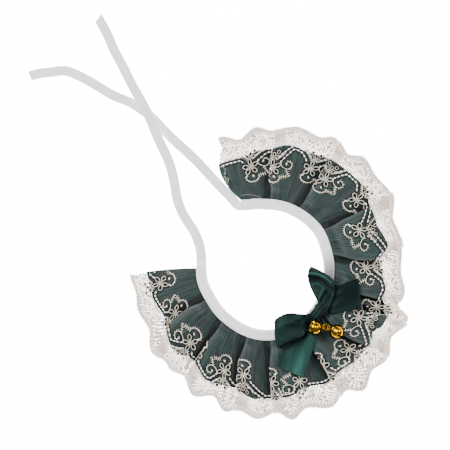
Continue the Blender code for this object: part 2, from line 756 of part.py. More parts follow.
def build_bell_thread():
    """The thread loop that ties the ring to the knot: out from the knot, through and back."""
    ring = Vector((RING_X, RING_Y, BELL_Z))
    root = Vector((THREAD_ROOT_X, THREAD_ROOT_Y, BELL_Z))
    out = (ring - root).normalized()
    start = 0.0
    finish = (ring - root).length - RING_RADIUS + RING_WIRE + THREAD_WIRE + SEAM_GAP
    middle = (start + finish) / 2
    top = THREAD_SPREAD
    profile = (
        (start, -4.2 - top), (start + 1.2, -3.0 - top), (middle, -1.4 - top),
        (finish - 0.8, -top), (finish, 0.0), (finish - 0.8, top),
        (middle, -0.4 + 0.4 * top), (start + 1.2, -1.9 + 0.2 * top), (start, -3.2 + 0.2 * top),
    )
    curve = bpy.data.curves.new("bell_thread", "CURVE")
    curve.dimensions = "3D"
    curve.bevel_depth = THREAD_WIRE * MM
    curve.bevel_resolution = 2
    curve.use_fill_caps = True
    spline = curve.splines.new("POLY")
    spline.points.add(len(profile) - 1)
    for point, (reach, height) in zip(spline.points, profile):
        place = root + out * reach + Vector((0, 0, height))
        point.co = (*(place * MM), 1.0)
    thread = bpy.data.objects.new("bell_thread", curve)
    curve.materials.append(finish_material("green_satin"))
    part_collection(COLLECTION_NAME).objects.link(thread)
    return thread


def bell_centre(turn):
    """Centre of a bell that hangs from the ring in a direction."""
    reach = RING_RADIUS + SHANK_REACH
    angle = math.radians(turn)
    return RING_X + reach * math.cos(angle), RING_Y + reach * math.sin(angle)


def clear_scene():
    """Remove what the scene holds."""
    for thing in list(bpy.data.objects):
        bpy.data.objects.remove(thing, do_unlink=True)


def build_collar():
    """Make every piece of the collar."""
    clear_scene()
    columns = cloth_columns()
    build_ruffle(columns)
    build_lace_border(columns)
    build_neck_binding()
    build_tie("tie_left", TIE_LEFT_ROUTE, TIE_LEFT_END_SLANT, True)
    build_tie("tie_right", TIE_RIGHT_ROUTE, TIE_RIGHT_END_SLANT, False)
    build_knot()
    build_ribbon("bow_loop_left", LOOP_LEFT, LOOP_STEPS, LOOP_COLUMNS)
    build_ribbon("bow_loop_right", LOOP_RIGHT, LOOP_STEPS, LOOP_COLUMNS)
    build_ribbon("bow_tail_left", TAIL_LEFT, TAIL_STEPS, TAIL_COLUMNS)
    build_ribbon("bow_tail_right", TAIL_RIGHT, TAIL_STEPS, TAIL_COLUMNS)
    build_bell_ring()
    build_bell_thread()
    for side, turn, roll in (("left", 184.4, 40.0), ("right", 334.9, 62.0)):
        x, y = bell_centre(turn)
        build_bell(side, x, y, roll)
        build_ball(side, x, y)


build_collar()
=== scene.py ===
import math
import random

import bpy
import numpy as np
from mathutils import Matrix, Vector


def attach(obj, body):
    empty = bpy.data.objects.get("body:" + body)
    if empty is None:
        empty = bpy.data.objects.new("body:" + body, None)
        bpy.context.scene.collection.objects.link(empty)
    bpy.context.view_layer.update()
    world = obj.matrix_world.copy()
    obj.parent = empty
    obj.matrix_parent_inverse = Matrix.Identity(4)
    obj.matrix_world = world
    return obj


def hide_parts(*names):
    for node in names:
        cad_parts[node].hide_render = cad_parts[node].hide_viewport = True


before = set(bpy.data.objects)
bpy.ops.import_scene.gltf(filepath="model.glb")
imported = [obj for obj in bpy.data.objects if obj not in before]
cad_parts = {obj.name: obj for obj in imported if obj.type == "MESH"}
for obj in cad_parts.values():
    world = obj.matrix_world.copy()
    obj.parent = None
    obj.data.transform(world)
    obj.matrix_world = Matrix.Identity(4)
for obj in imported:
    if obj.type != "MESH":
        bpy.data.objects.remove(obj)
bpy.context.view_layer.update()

# A pleated green collar with a lace border, tape ties, a satin bow and two bells, laid flat.
# The camera looks straight down at it. Sizes are in millimetres unless a note says metres.

mm = 0.001
random.seed(7)
scene = bpy.context.scene


# small helpers, for numbers, curves and meshes
def smoothStep(value):
    value = np.clip(value, 0.0, 1.0)
    return value * value * (3.0 - 2.0 * value)


def mix(first, second, share):
    return first + (second - first) * share


def unit(vectors):
    return vectors / (np.linalg.norm(vectors, axis=-1, keepdims=True) + 1e-12)


def splinePoint(a, b, c, d, t):    # Catmull-Rom, from b to c
    bend = (2 * a - 5 * b + 4 * c - d) * t * t + (3 * b - a - 3 * c + d) * t ** 3
    return (2 * b + (c - a) * t + bend) / 2


def curveThrough(points, step):    # about one point for each step
    knots = np.array(points, float)
    knots = np.vstack([2 * knots[0] - knots[1], knots, 2 * knots[-1] - knots[-2]])
    route = []
    for a, b, c, d in zip(knots, knots[1:], knots[2:], knots[3:]):
        count = max(1, round(float(np.linalg.norm(c - b)) / step))
        for index in range(count):
            route.append(splinePoint(a, b, c, d, index / count))
    route.append(knots[-2])
    return np.array(route)


def distanceAlong(line):    # of each point from the line's start
    return np.concatenate([[0.0], np.cumsum(np.linalg.norm(np.diff(line, axis=0), axis=1))])


def newPile():    # points and faces gathered before they become one mesh
    return {"points": [], "faces": [], "count": 0, "marks": []}


def addPoints(pile, points, marks=None):
    start = pile["count"]
    points = np.asarray(points, float).reshape(-1, 3)
    pile["points"].append(points)
    pile["marks"].append(np.zeros_like(points) if marks is None else np.reshape(marks, (-1, 3)))
    pile["count"] += len(points)
    return start


def addSheet(pile, grid, marks=None):    # an open grid of points as quads
    rows, columns = grid.shape[:2]
    start = addPoints(pile, grid, marks)
    for row in range(rows - 1):
        for column in range(columns - 1):
            near = start + row * columns + column
            pile["faces"].append((near, near + columns, near + columns + 1, near + 1))


def closeRings(pile, start, count, sides):    # walls between rings of points, and both ends
    for ring in range(count - 1):
        for side in range(sides):
            here = start + ring * sides + side
            beside = start + ring * sides + (side + 1) % sides
            pile["faces"].append((here, here + sides, beside + sides, beside))
    pile["faces"].append(tuple(range(start, start + sides)))
    pile["faces"].append(tuple(reversed(range(start + (count - 1) * sides, start + count * sides))))


def addTube(pile, line, ups, width, height, sides=6, mark=(0.0, 0.0, 0.0)):    # oval, closed ends
    line = np.asarray(line, float)
    along = unit(np.gradient(line, axis=0))
    across = unit(np.cross(along, np.broadcast_to(ups, line.shape)))
    up = np.cross(across, along)
    halfWidth = np.broadcast_to(width, len(line))[:, None, None] / 2
    halfHeight = np.broadcast_to(height, len(line))[:, None, None] / 2
    turn = 2 * math.pi * (np.arange(sides) + 0.5) / sides
    rings = line[:, None] + across[:, None] * np.cos(turn)[:, None] * halfWidth
    rings = rings + up[:, None] * np.sin(turn)[:, None] * halfHeight
    start = addPoints(pile, rings, np.broadcast_to(mark, (rings.shape[0] * sides, 3)))
    closeRings(pile, start, len(line), sides)


# a closed solid through sections of (across, up) places
def addSweep(pile, line, acrosses, ups, sections, marks):
    rings = []
    for centre, across, up, section in zip(line, acrosses, ups, sections):
        rings.append([centre + across * a + up * b for a, b in section])
    rings = np.array(rings)
    closeRings(pile, addPoints(pile, rings, marks), *rings.shape[:2])


def makePiece(name, pile, material, body="collar", wall=None):
    mesh = bpy.data.meshes.new(name)
    mesh.from_pydata((np.concatenate(pile["points"]) * mm).tolist(), [], pile["faces"])
    # the marks drive the weaves and tints
    marks = mesh.attributes.new("clothMark", "FLOAT_VECTOR", "POINT")
    marks.data.foreach_set("vector", np.concatenate(pile["marks"]).astype(np.float32).ravel())
    thing = bpy.data.objects.new(name, mesh)
    scene.collection.objects.link(thing)
    mesh.materials.append(material)
    if wall is not None:    # open sheets get their thickness here
        solidify = thing.modifiers.new("wall", "SOLIDIFY")
        solidify.thickness = wall * mm
        solidify.offset = 0.0
    mesh.shade_smooth()
    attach(thing, body)
    return thing


# finishes, all procedural
def newMaterial(name, colour, roughness, metallic=0.0, sheen=0.0):
    material = bpy.data.materials.new(name)
    material.use_nodes = True
    material.diffuse_color = (*colour, 1.0)
    shader = material.node_tree.nodes["Principled BSDF"]
    shader.inputs["Base Color"].default_value = (*colour, 1.0)
    shader.inputs["Roughness"].default_value = roughness
    shader.inputs["Metallic"].default_value = metallic
    shader.inputs["Sheen Weight"].default_value = sheen
    return material, shader


def addNode(material, kind, **values):
    node = material.node_tree.nodes.new(kind)
    for name, value in values.items():
        setattr(node, name, value)
    return node


def join(material, output, target):
    material.node_tree.links.new(output, target)


def clothMark(material):    # x: mm along the cloth, y: mm from its inner edge, z: tint, mostly painted light and shade
    return addNode(material, "ShaderNodeAttribute", attribute_name="clothMark").outputs["Vector"]


def stretched(material, vector, scale):    # the same coordinates, scaled along each axis
    node = addNode(material, "ShaderNodeMapping")
    node.inputs["Scale"].default_value = scale
    join(material, vector, node.inputs["Vector"])
    return node.outputs["Vector"]


def noise(material, vector, scale, detail=2.0):
    node = addNode(material, "ShaderNodeTexNoise")
    node.inputs["Scale"].default_value = scale
    node.inputs["Detail"].default_value = detail
    join(material, vector, node.inputs["Vector"])
    return node.outputs["Fac"]


def ramp(material, value, stops):    # stops: (place, colour)
    node = addNode(material, "ShaderNodeValToRGB")
    elements = node.color_ramp.elements
    while len(elements) < len(stops):
        elements.new(0.5)
    for element, (place, colour) in zip(elements, stops):
        element.position = place
        element.color = (*colour, 1.0)
    join(material, value, node.inputs["Fac"])
    return node.outputs["Color"]


def blendColours(material, share, first, second, kind="MIX"):
    node = addNode(material, "ShaderNodeMix", data_type="RGBA", blend_type=kind)
    for socket, value in (("Factor_Float", share), ("A_Color", first), ("B_Color", second)):
        target = next(item for item in node.inputs if item.identifier == socket)
        if isinstance(value, bpy.types.NodeSocket):
            join(material, value, target)
        else:
            target.default_value = value if socket == "Factor_Float" else (*value, 1.0)
    return next(item for item in node.outputs if item.identifier == "Result_Color")


def addBump(material, shader, height, distance, strength=1.0):    # distance in metres
    node = addNode(material, "ShaderNodeBump")
    node.inputs["Distance"].default_value = distance
    node.inputs["Strength"].default_value = strength
    join(material, height, node.inputs["Height"])
    if shader.inputs["Normal"].is_linked:
        join(material, shader.inputs["Normal"].links[0].from_socket, node.inputs["Normal"])
    join(material, node.outputs["Normal"], shader.inputs["Normal"])


def splitMark(material, vector):
    node = addNode(material, "ShaderNodeSeparateXYZ")
    join(material, vector, node.inputs["Vector"])
    return node.outputs


def math2(material, operation, first, second):
    node = addNode(material, "ShaderNodeMath", operation=operation)
    for target, value in zip(node.inputs, (first, second)):
        if isinstance(value, bpy.types.NodeSocket):
            join(material, value, target)
        else:
            target.default_value = value
    return node.outputs[0]


def wave(material, value, length):    # a sine of a value in mm, from 0 to 1
    turned = math2(material, "MULTIPLY", value, 2 * math.pi / length)
    sine = math2(material, "SINE", turned, 0.0)
    return math2(material, "MULTIPLY_ADD", sine, 0.5)


def weaveHeight(material, mark, pitch):    # over-and-under threads
    parts = splitMark(material, mark)
    lengthwise, crosswise = (wave(material, part, pitch) for part in (parts[0], parts[1]))
    return math2(material, "MULTIPLY", lengthwise, crosswise)


clothLook = {
    "deep": (0.0085, 0.0180, 0.0172),
    "middle": (0.0198, 0.0368, 0.0348),
    "pale": (0.037, 0.066, 0.061),
    "sheerEdgeHighlight": (0.066, 0.074, 0.074),    # paler on a fold's edge: painted highlight, with the sheer top layer's grey where the cloth turns over
    "smoky": (0.029, 0.034, 0.035),   # zones where the shot weft shows
    # painted shade deep in the creases
    "crease": (0.0020, 0.0040, 0.0040),
    "roughness": 0.55,
    "specular": 0.16,
}


def taffetaMaterial():    # crisp cloth, streaked along its threads
    look = clothLook
    material, shader = newMaterial("greenTaffeta", look["middle"], look["roughness"])
    shader.inputs["Specular IOR Level"].default_value = look["specular"]
    mark = clothMark(material)
    streaks = noise(material, stretched(material, mark, (0.55, 0.035, 1.0)), 1.6, 5.0)
    threads = noise(material, stretched(material, mark, (1.5, 0.06, 1.0)), 1.2, 3.0)
    stops = ((0.30, look["deep"]), (0.5, look["middle"]), (0.72, look["pale"]))
    colour = ramp(material, streaks, stops)
    zones = noise(material, stretched(material, mark, (0.09, 0.05, 1.0)), 1.0, 2.0)
    smokyShare = ramp(material, zones, ((0.47, (0.0, 0.0, 0.0)), (0.62, (0.75, 0.75, 0.75))))
    colour = blendColours(material, smokyShare, colour, look["smoky"])
    fine = ramp(material, threads, ((0.32, (0.48, 0.52, 0.52)), (0.68, (1.5, 1.46, 1.44))))
    colour = blendColours(material, 0.9, colour, fine, "MULTIPLY")
    tint = splitMark(material, mark)[2]    # painted light: 0 painted shade in a crease, 0.5 on the face, 1 painted highlight on a fold's edge
    edgeHighlightShare = math2(material, "MULTIPLY", math2(material, "SUBTRACT", tint, 0.5), 1.5)
    creaseShadeShare = math2(material, "MULTIPLY", math2(material, "SUBTRACT", 0.5, tint), 1.8)
    edgeHighlightShare.node.use_clamp = True
    creaseShadeShare.node.use_clamp = True
    colour = blendColours(material, edgeHighlightShare, colour, look["sheerEdgeHighlight"])
    colour = blendColours(material, creaseShadeShare, colour, look["crease"])
    join(material, colour, shader.inputs["Base Color"])
    addBump(material, shader, threads, 0.00012, 0.6)
    addBump(material, shader, streaks, 0.0006, 0.45)
    return material


laceLook = {
    "thread": (0.80, 0.72, 0.64),
    "worn": (0.62, 0.48, 0.38),      # the net's colour is mottled from this
    "middle": (0.98, 0.85, 0.76),
    "pale": (1.0, 0.95, 0.89),       # to this
    "white": (1.0, 0.99, 1.0),
    # painted shade: the tulle between the threads, darkened as if in their shadow
    "shadedTulle": (0.42, 0.33, 0.26),
    "roughness": 0.9,
    "specular": 0.2,
}


def laceMaterial():    # cotton threads with fine tulle between them
    look = laceLook
    material, shader = newMaterial("creamLace", look["thread"], look["roughness"])
    shader.inputs["Specular IOR Level"].default_value = look["specular"]
    mark = clothMark(material)
    mottling = noise(material, stretched(material, mark, (1.0, 1.0, 0.0)), 0.62, 3.0)
    stops = ((0.38, look["worn"]), (0.50, look["middle"]), (0.62, look["pale"]))
    colour = ramp(material, mottling, stops)
    share = splitMark(material, mark)[2]    # above 0 whiter, below 0 the painted shade of the tulle between the threads
    white = math2(material, "MULTIPLY", share, 1.0)    # each keeps one side of 0
    shadedTulle = math2(material, "MULTIPLY", share, -1.0)
    white.node.use_clamp = True
    shadedTulle.node.use_clamp = True
    colour = blendColours(material, white, colour, look["white"])
    colour = blendColours(material, shadedTulle, colour, look["shadedTulle"])
    join(material, colour, shader.inputs["Base Color"])
    addBump(material, shader, noise(material, mark, 5.0, 2.0), 0.0001, 0.8)
    return material


def cordMaterial(name, colour, shade, roughness, pitch):    # twisted embroidery cord
    material, shader = newMaterial(name, colour, roughness, sheen=0.15)
    mark = clothMark(material)
    place = addNode(material, "ShaderNodeTexCoord").outputs["Object"]
    uneven = noise(material, place, 260.0, 2.0)
    twist = wave(material, splitMark(material, mark)[0], pitch)
    tone = ramp(material, uneven, ((0.3, shade), (0.6, colour)))
    join(material, tone, shader.inputs["Base Color"])
    addBump(material, shader, twist, 0.00015, 0.8)
    return material


tapeLook = {
    "dim": (0.86, 0.84, 0.88),
    "middle": (0.93, 0.91, 0.94),
    "pale": (0.97, 0.95, 0.96),
    "shaded": (0.13, 0.13, 0.155),    # beside the bow
    "roughness": 0.8,
}


def tapeMaterial():    # plain woven tape
    look = tapeLook
    material, shader = newMaterial("whiteTape", look["middle"], look["roughness"])
    mark = clothMark(material)
    cloudy = noise(material, stretched(material, mark, (0.05, 0.12, 1.0)), 1.0, 3.0)
    stops = ((0.3, look["dim"]), (0.55, look["middle"]), (0.8, look["pale"]))
    colour = ramp(material, cloudy, stops)
    shade = splitMark(material, mark)[2]    # 1 where the bow shades it
    colour = blendColours(material, shade, colour, look["shaded"])
    join(material, colour, shader.inputs["Base Color"])
    addBump(material, shader, weaveHeight(material, mark, 0.7), 0.00012, 0.7)
    addBump(material, shader, cloudy, 0.0006, 0.4)
    return material


satinLook = {
    "colour": (0.003, 0.012, 0.0105),
    "paintedLightTones": (    # painted light, from the painted shade of a deep crease to a painted gleam
        (0.0, (0.0018, 0.0030, 0.0030)), (0.26, (0.0042, 0.0085, 0.0084)),
        (0.46, (0.0088, 0.0195, 0.0180)), (0.75, (0.0155, 0.050, 0.0425)),
        (1.0, (0.042, 0.135, 0.108)),
    ),
    "roughness": 0.32,
    "specular": 0.07,
    "gloss": (0.45, 0.85, 0.76),
}


def satinMaterial():    # ribbon, with fine streaks along it
    look = satinLook
    material, shader = newMaterial("greenSatin", look["colour"], look["roughness"])
    mark = clothMark(material)
    streaks = noise(material, stretched(material, mark, (0.10, 1.6, 1.0)), 1.2, 3.0)
    tint = splitMark(material, mark)[2]    # painted light: 0 painted shade in a crease, 1 a painted gleam
    colour = ramp(material, tint, look["paintedLightTones"])
    fine = ramp(material, streaks, ((0.3, (0.75, 0.76, 0.76)), (0.7, (1.25, 1.22, 1.2))))
    colour = blendColours(material, 1.0, colour, fine, "MULTIPLY")
    join(material, colour, shader.inputs["Base Color"])
    shader.inputs["Specular IOR Level"].default_value = look["specular"]
    shader.inputs["Specular Tint"].default_value = (*look["gloss"], 1.0)
    addBump(material, shader, streaks, 0.0003, 0.35)
    return material


goldLook = {
    "colour": (0.36, 0.19, 0.008),
    # random patches from worn to bright: wear, and painted dark reflections
    "worn": (0.19, 0.094, 0.001),
    "bright": (0.34, 0.180, 0.002),
    "inside": (0.012, 0.006, 0.001),    # painted shade inside the bell, dull
    "rim": (0.16, 0.08, 0.01),          # tint of what it mirrors at a slant
    "roughness": (0.11, 0.18),
}


def goldMaterial():    # thin gold plate: random darker patches, partly wear and partly painted dark reflections
    look = goldLook
    material, shader = newMaterial("goldPlate", look["colour"], look["roughness"][0], metallic=1.0)
    shader.inputs["Specular Tint"].default_value = (*look["rim"], 1.0)
    place = addNode(material, "ShaderNodeTexCoord").outputs["Object"]
    wearAndReflection = noise(material, place, 1500.0, 2.0)
    colour = ramp(material, wearAndReflection, ((0.35, look["worn"]), (0.65, look["bright"])))
    inside = splitMark(material, clothMark(material))[2]    # 1 inside the bell, where shade is painted
    colour = blendColours(material, inside, colour, look["inside"])
    join(material, colour, shader.inputs["Base Color"])
    smooth, dull = ((share, share, share) for share in look["roughness"])
    rough = ramp(material, wearAndReflection, ((0.3, smooth), (0.7, dull)))
    join(material, rough, shader.inputs["Roughness"])
    return material


# one colour with a little unevenness
def plainMaterial(name, colour, roughness, metallic=0.0, gloss=0.5):
    material, shader = newMaterial(name, colour, roughness, metallic)
    shader.inputs["Specular IOR Level"].default_value = gloss
    place = addNode(material, "ShaderNodeTexCoord").outputs["Object"]
    uneven = noise(material, place, 300.0, 2.0)
    darker = tuple(part * 0.85 for part in colour)
    tone = ramp(material, uneven, ((0.3, darker), (0.7, colour)))
    join(material, tone, shader.inputs["Base Color"])
    return material


taffeta = taffetaMaterial()
laceThread = laceMaterial()
creamCord = cordMaterial("creamCord", (0.80, 0.74, 0.62), (0.50, 0.43, 0.34), 0.6, 0.6)
whiteSilk = cordMaterial("whiteSilk", (0.90, 0.89, 0.86), (0.74, 0.72, 0.68), 0.4, 0.5)
brownCord = cordMaterial("brownCord", (0.38, 0.29, 0.21), (0.24, 0.17, 0.12), 0.7, 0.5)
whiteTape = tapeMaterial()
whiteThread = plainMaterial("whiteThread", (0.84, 0.83, 0.85), 0.6)
frayedGreen = plainMaterial("frayedGreen", (0.16, 0.20, 0.19), 0.9, gloss=0.2)
greenSatin = satinMaterial()
# dark sheets: painted shadow beside the cords, and the fills inside their loops
shadowAndFillDark = plainMaterial("shadowAndFillDark", (0.006, 0.0085, 0.0072), 0.9, gloss=0.08)
darkThread = plainMaterial("darkThread", (0.010, 0.020, 0.018), 0.6, gloss=0.2)
goldPlate = goldMaterial()
steel = plainMaterial("steelBall", (0.45, 0.45, 0.46), 0.3, 1.0)
print("finishes made")


# camera, straight above the photo's middle

cameraSetting = {
    "over": (-0.0354, 0.0384),    # metres
    "height": 1.6,
    "frameWidth": 0.36,
    "sensor": 36.0,
}


def addCamera():
    setting = cameraSetting
    data = bpy.data.cameras.new("camera")
    data.sensor_width = setting["sensor"]
    data.lens = setting["sensor"] * setting["height"] / setting["frameWidth"]
    data.clip_end = 20.0
    camera = bpy.data.objects.new("camera", data)
    camera.location = (*setting["over"], setting["height"])
    scene.collection.objects.link(camera)
    scene.camera = camera


addCamera()


# the two ties: flat tape lying on the table

tieForm = {
    "width": 8.0,
    "wall": 0.7,
    "step": 2.0,
    "binding": 3.6,      # height at the neck, where the tie joins the binding
    "taper": 7.0,
    "crossing": (-95.0, 124.0),
    "crossingFlat": 17.0,
    "crossingRamp": 30.0,
    "crossingLift": 1.3,
    "rim": 0.5,          # the woven edge
    "settle": 25.0,      # ripples start this far from the neck
    "ripple": 0.18,      # height of the ripples, and how quickly they come and go
    "rippleLengths": (11.0, 31.0),
    "tilt": 0.035,
    "tiltLength": 17.0,
}
tieLeftRoute = (    # metres
    (-0.0542, 0.0053), (-0.0544, 0.0120), (-0.0553, 0.0202), (-0.0598, 0.0325), (-0.0676, 0.0447),
    (-0.0715, 0.0530), (-0.0740, 0.0612), (-0.0761, 0.0734), (-0.0792, 0.0857), (-0.0842, 0.0979),
    (-0.0896, 0.1092), (-0.0954, 0.1234), (-0.1021, 0.1370), (-0.1088, 0.1487), (-0.1164, 0.1638),
    (-0.1240, 0.1782), (-0.1295, 0.1908), (-0.1367, 0.2041),
)
tieRightRoute = (    # metres
    (-0.0216, 0.05395), (-0.0246, 0.0539), (-0.0279, 0.0569), (-0.0318, 0.0616), (-0.0388, 0.0686),
    (-0.0477, 0.0783), (-0.0584, 0.0898), (-0.0706, 0.1012), (-0.0788, 0.1086), (-0.0866, 0.1168),
    (-0.0944, 0.1250), (-0.1030, 0.1312), (-0.1088, 0.1353), (-0.1164, 0.1386), (-0.1248, 0.1420),
    (-0.1333, 0.1470), (-0.1417, 0.1521), (-0.1501, 0.1567), (-0.1586, 0.1605), (-0.1653, 0.1618),
    (-0.1754, 0.1606), (-0.1834, 0.1596), (-0.1914, 0.1576),
)


def tapeSection(half, wall):    # a flat tape with slightly thicker woven edges
    rim = tieForm["rim"]
    foot, shoulder, middle = wall * 0.15, wall * 0.85, wall * 0.86
    return (
        (half, foot), (half, shoulder), (half - rim * 0.4, wall), (half - rim, wall),
        (half - 2 * rim, middle), (0.0, middle), (-half + 2 * rim, middle),
        (-half + rim, wall), (-half + rim * 0.4, wall), (-half, shoulder), (-half, foot),
        (-half + 0.1, 0.0), (half - 0.1, 0.0),
    )


def addTie(name, node, route, slant, passesOver, phase):
    form = tieForm
    points = curveThrough(np.array(route) / mm, form["step"])
    headings = unit(np.gradient(points, axis=0))
    travelled = distanceAlong(points)
    fromCrossing = np.linalg.norm(points - np.array(form["crossing"]), axis=1)
    lift = np.zeros(len(points))
    if passesOver:
        ramped = smoothStep((fromCrossing - form["crossingFlat"]) / form["crossingRamp"])
        lift = form["crossingLift"] * (1.0 - ramped)
    settled = smoothStep(travelled / form["settle"])
    short, long = (np.sin(travelled / length + phase) for length in form["rippleLengths"])
    ripple = form["ripple"] * settled * (1.0 + short * long)
    line = np.column_stack([points, lift + ripple])
    acrosses = np.column_stack([headings[:, 1], -headings[:, 0], np.zeros(len(points))])
    tilt = form["tilt"] * settled * np.sin(travelled / form["tiltLength"] + 2.0 * phase)
    ups = np.tile((0.0, 0.0, 1.0), (len(points), 1))
    acrosses = unit(acrosses + ups * tilt[:, None])
    line[:, 2] += np.abs(tilt) * form["width"] / 2
    sections = []
    for distance in travelled:
        spare = form["binding"] - form["wall"]
        wall = form["wall"] + spare * (1.0 - smoothStep(distance / form["taper"]))
        sections.append(tapeSection(form["width"] / 2, wall))
    marks = [[(distance, a, 0.0) for a, _ in section]
             for distance, section in zip(travelled, sections)]
    pile = newPile()
    addSweep(pile, line, acrosses, ups, sections, np.array(marks))
    sides = len(sections[0])
    heading = np.array((*headings[-1], 0.0))
    for index, (a, _) in enumerate(sections[-1]):    # the free end is cut at a slant
        pile["points"][0][-sides + index] += heading * slant * a / form["width"]
    tie = makePiece(name, pile, whiteTape)
    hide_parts(node)
    print(name, "length", round(float(travelled[-1])), "mm")


addTie("leftTie", "tie_left", tieLeftRoute, 3.5, True, 0.4)
addTie("rightTie", "tie_right", tieRightRoute, 1.0, False, 2.1)


# the form of the pleated cloth, shared by the green cloth, the lace and the embroidery

clothForm = {
    "centre": (-2.6, 2.0),
    "lowest": 1.8,
    "innerBend": 1.0,
    "outerBend": 2.1,
    "edgeBend": 0.9,        # the fold's edge is crisper than it is high
    "foldFoot": 2.5,
    "neckRamp": 3.0,        # under the binding a fold is drawn together into a short ramp
    "riseLength": 11.0,
    "tuck": (4.0, 19.0),
    "crest": 1.3,
    "lowCrest": 2.2,
    "faceStep": 1.0,        # degrees
    "foldRadii": (56.0, 75.0, 98.0),
    "radiusLimit": 104.0,
    "radii": (46.0, 127.0),
    "rulerRadius": 92.0,    # lengths along the cloth are measured here
    "middleRadius": 80.0,
    "crinkle": 0.28,        # height of the soft gathers, and how they fade towards the hem
    "crinkleLeft": 0.35,
    "crinkleFade": 22.0,
    "edgeLightAndShade": (0.14, -0.26),    # painted light beside a fold: highlight on the panel above it, shade on the one below
    "edgeReach": 0.24,      # share of a panel
    "folds": (    # angle at the neck, half-way and at the hem, panel on top, lap
        (88.4, 88.0, 87.2, "next", 8.0),
        (64.0, 61.3, 60.5, "next", 8.0),
        (37.5, 33.7, 32.1, "next", 8.0),
        (11.0, 6.0, 7.5, "previous", 7.0),
        (-13.5, -14.4, -14.0, "previous", 4.0),
        (-20.5, -22.0, -21.0, "next", 4.0),
        (-40.0, -40.4, -37.0, "previous", 6.0),
        (-61.0, -59.3, -59.3, "previous", 8.0),
        (-88.4, -88.0, -87.5, "previous", 8.0),
        (-108.4, -106.8, -103.9, "previous", 8.0),
        (-132.3, -129.3, -128.0, "previous", 8.0),
        (-156.0, -154.0, -148.0, "previous", 8.0),
    ),
    "start": (108.0, 114.8, 112.7),
    "finish": (-182.0, -181.0, -179.2),
}
bindingLine = np.array((    # angle and radius of the binding's middle
    (112.0, 55.8), (103.0, 54.0), (90.0, 52.8), (40.0, 52.2), (15.0, 50.4), (-10.0, 50.4),
    (-60.0, 51.2), (-90.0, 51.4), (-130.0, 49.3), (-150.0, 49.3), (-175.0, 51.4), (-184.0, 51.6),
))
greenHem = np.array((    # angle and radius
    (114.0, 92.8), (104.0, 92.2), (90.0, 96.6), (78.0, 102.0), (70.0, 99.8), (60.0, 102.4),
    (50.0, 102.4), (40.0, 103.0), (31.0, 97.0), (22.0, 95.5), (12.0, 99.0), (5.5, 90.5),
    (-3.0, 93.2), (-9.0, 96.0), (-13.5, 94.5), (-18.0, 103.5), (-25.0, 102.4), (-30.0, 98.0),
    (-36.0, 101.0), (-44.0, 101.4), (-53.0, 98.8), (-62.0, 102.0), (-70.0, 98.6), (-80.0, 101.8),
    (-95.0, 102.6), (-105.0, 96.8), (-118.0, 99.2), (-129.0, 92.2), (-140.0, 96.6), (-156.0, 89.6),
    (-168.0, 93.0), (-183.0, 95.8),
))
laceHem = np.array((    # angle and radius, lobe and notch by turns
    (114.0, 109.0),
    (109.0, 113.4), (101.6, 107.4), (93.8, 115.4), (87.8, 112.6), (76.9, 117.9), (68.0, 115.4),
    (62.8, 120.3), (54.9, 114.0), (48.9, 120.0), (40.5, 116.4), (31.6, 118.3), (21.5, 109.6),
    (12.0, 111.2), (0.0, 108.2), (-9.0, 112.2), (-14.2, 109.8), (-19.3, 120.8), (-28.0, 113.6),
    (-36.8, 120.4), (-43.0, 117.0), (-50.5, 123.3), (-56.5, 114.8), (-64.0, 121.6), (-73.5, 114.8),
    (-80.0, 121.0), (-85.2, 113.6), (-93.0, 119.2), (-100.8, 113.6), (-106.2, 118.0),
    (-112.5, 109.2), (-120.4, 115.6), (-127.7, 107.4), (-134.0, 110.6), (-137.5, 108.8),
    (-145.3, 112.3), (-153.5, 105.0), (-163.5, 107.7), (-170.0, 106.0), (-178.5, 109.3),
    (-184.0, 106.0),
))
bindingWidth = 8.8


def radiusFrom(table, angle):    # eased between the table's rows, which run clockwise
    angle = np.asarray(angle, float)
    index = np.clip(np.searchsorted(-table[:, 0], -angle) - 1, 0, len(table) - 2)
    share = (table[index, 0] - angle) / (table[index, 0] - table[index + 1, 0])
    return mix(table[index, 1], table[index + 1, 1], smoothStep(share))


def edgeAngle(row, radius):    # a curve through the edge's three angles
    near, half, far = clothForm["foldRadii"]
    reach = np.minimum(radius, clothForm["radiusLimit"])
    neckPart = row[0] * (reach - half) * (reach - far) / ((near - half) * (near - far))
    middlePart = row[1] * (reach - near) * (reach - far) / ((half - near) * (half - far))
    hemPart = row[2] * (reach - near) * (reach - half) / ((far - near) * (far - half))
    return neckPart + middlePart + hemPart


def foldSection(lap):    # across and height, from the low panel up to the high one
    form = clothForm
    inner, outer, edge = form["innerBend"], form["outerBend"], form["edgeBend"]
    points = [(-form["foldFoot"], 0.0), (0.0, 0.0), (lap * 0.5, 0.0), (lap, 0.0)]
    for turn in range(36, 181, 36):
        angle = math.radians(turn)
        points.append((lap + inner * math.sin(angle), inner * (1.0 - math.cos(angle))))
    points += [(mix(lap, edge, 0.5), 2 * inner), (edge, 2 * inner)]
    for turn in range(20, 181, 20):
        angle = math.radians(turn)
        points.append((edge * (1.0 - math.sin(angle)), 2 * inner + outer * (1.0 - math.cos(angle))))
    return points


def foldPoint(fold, index, distance):
    form = clothForm
    section = foldSection(fold[4])
    if fold[3] == "previous":
        section = [(-across, height) for across, height in reversed(section)]
    share = index / (len(section) - 1)
    climb = share if fold[3] == "next" else 1.0 - share
    pleatHeight = 2 * (form["innerBend"] + form["outerBend"])
    start, finish = form["tuck"]
    tuck = smoothStep((distance - start) / (finish - start))
    across = mix(mix(-form["neckRamp"], form["neckRamp"], share), section[index][0], tuck)
    return across, mix(pleatHeight * climb, section[index][1], tuck)


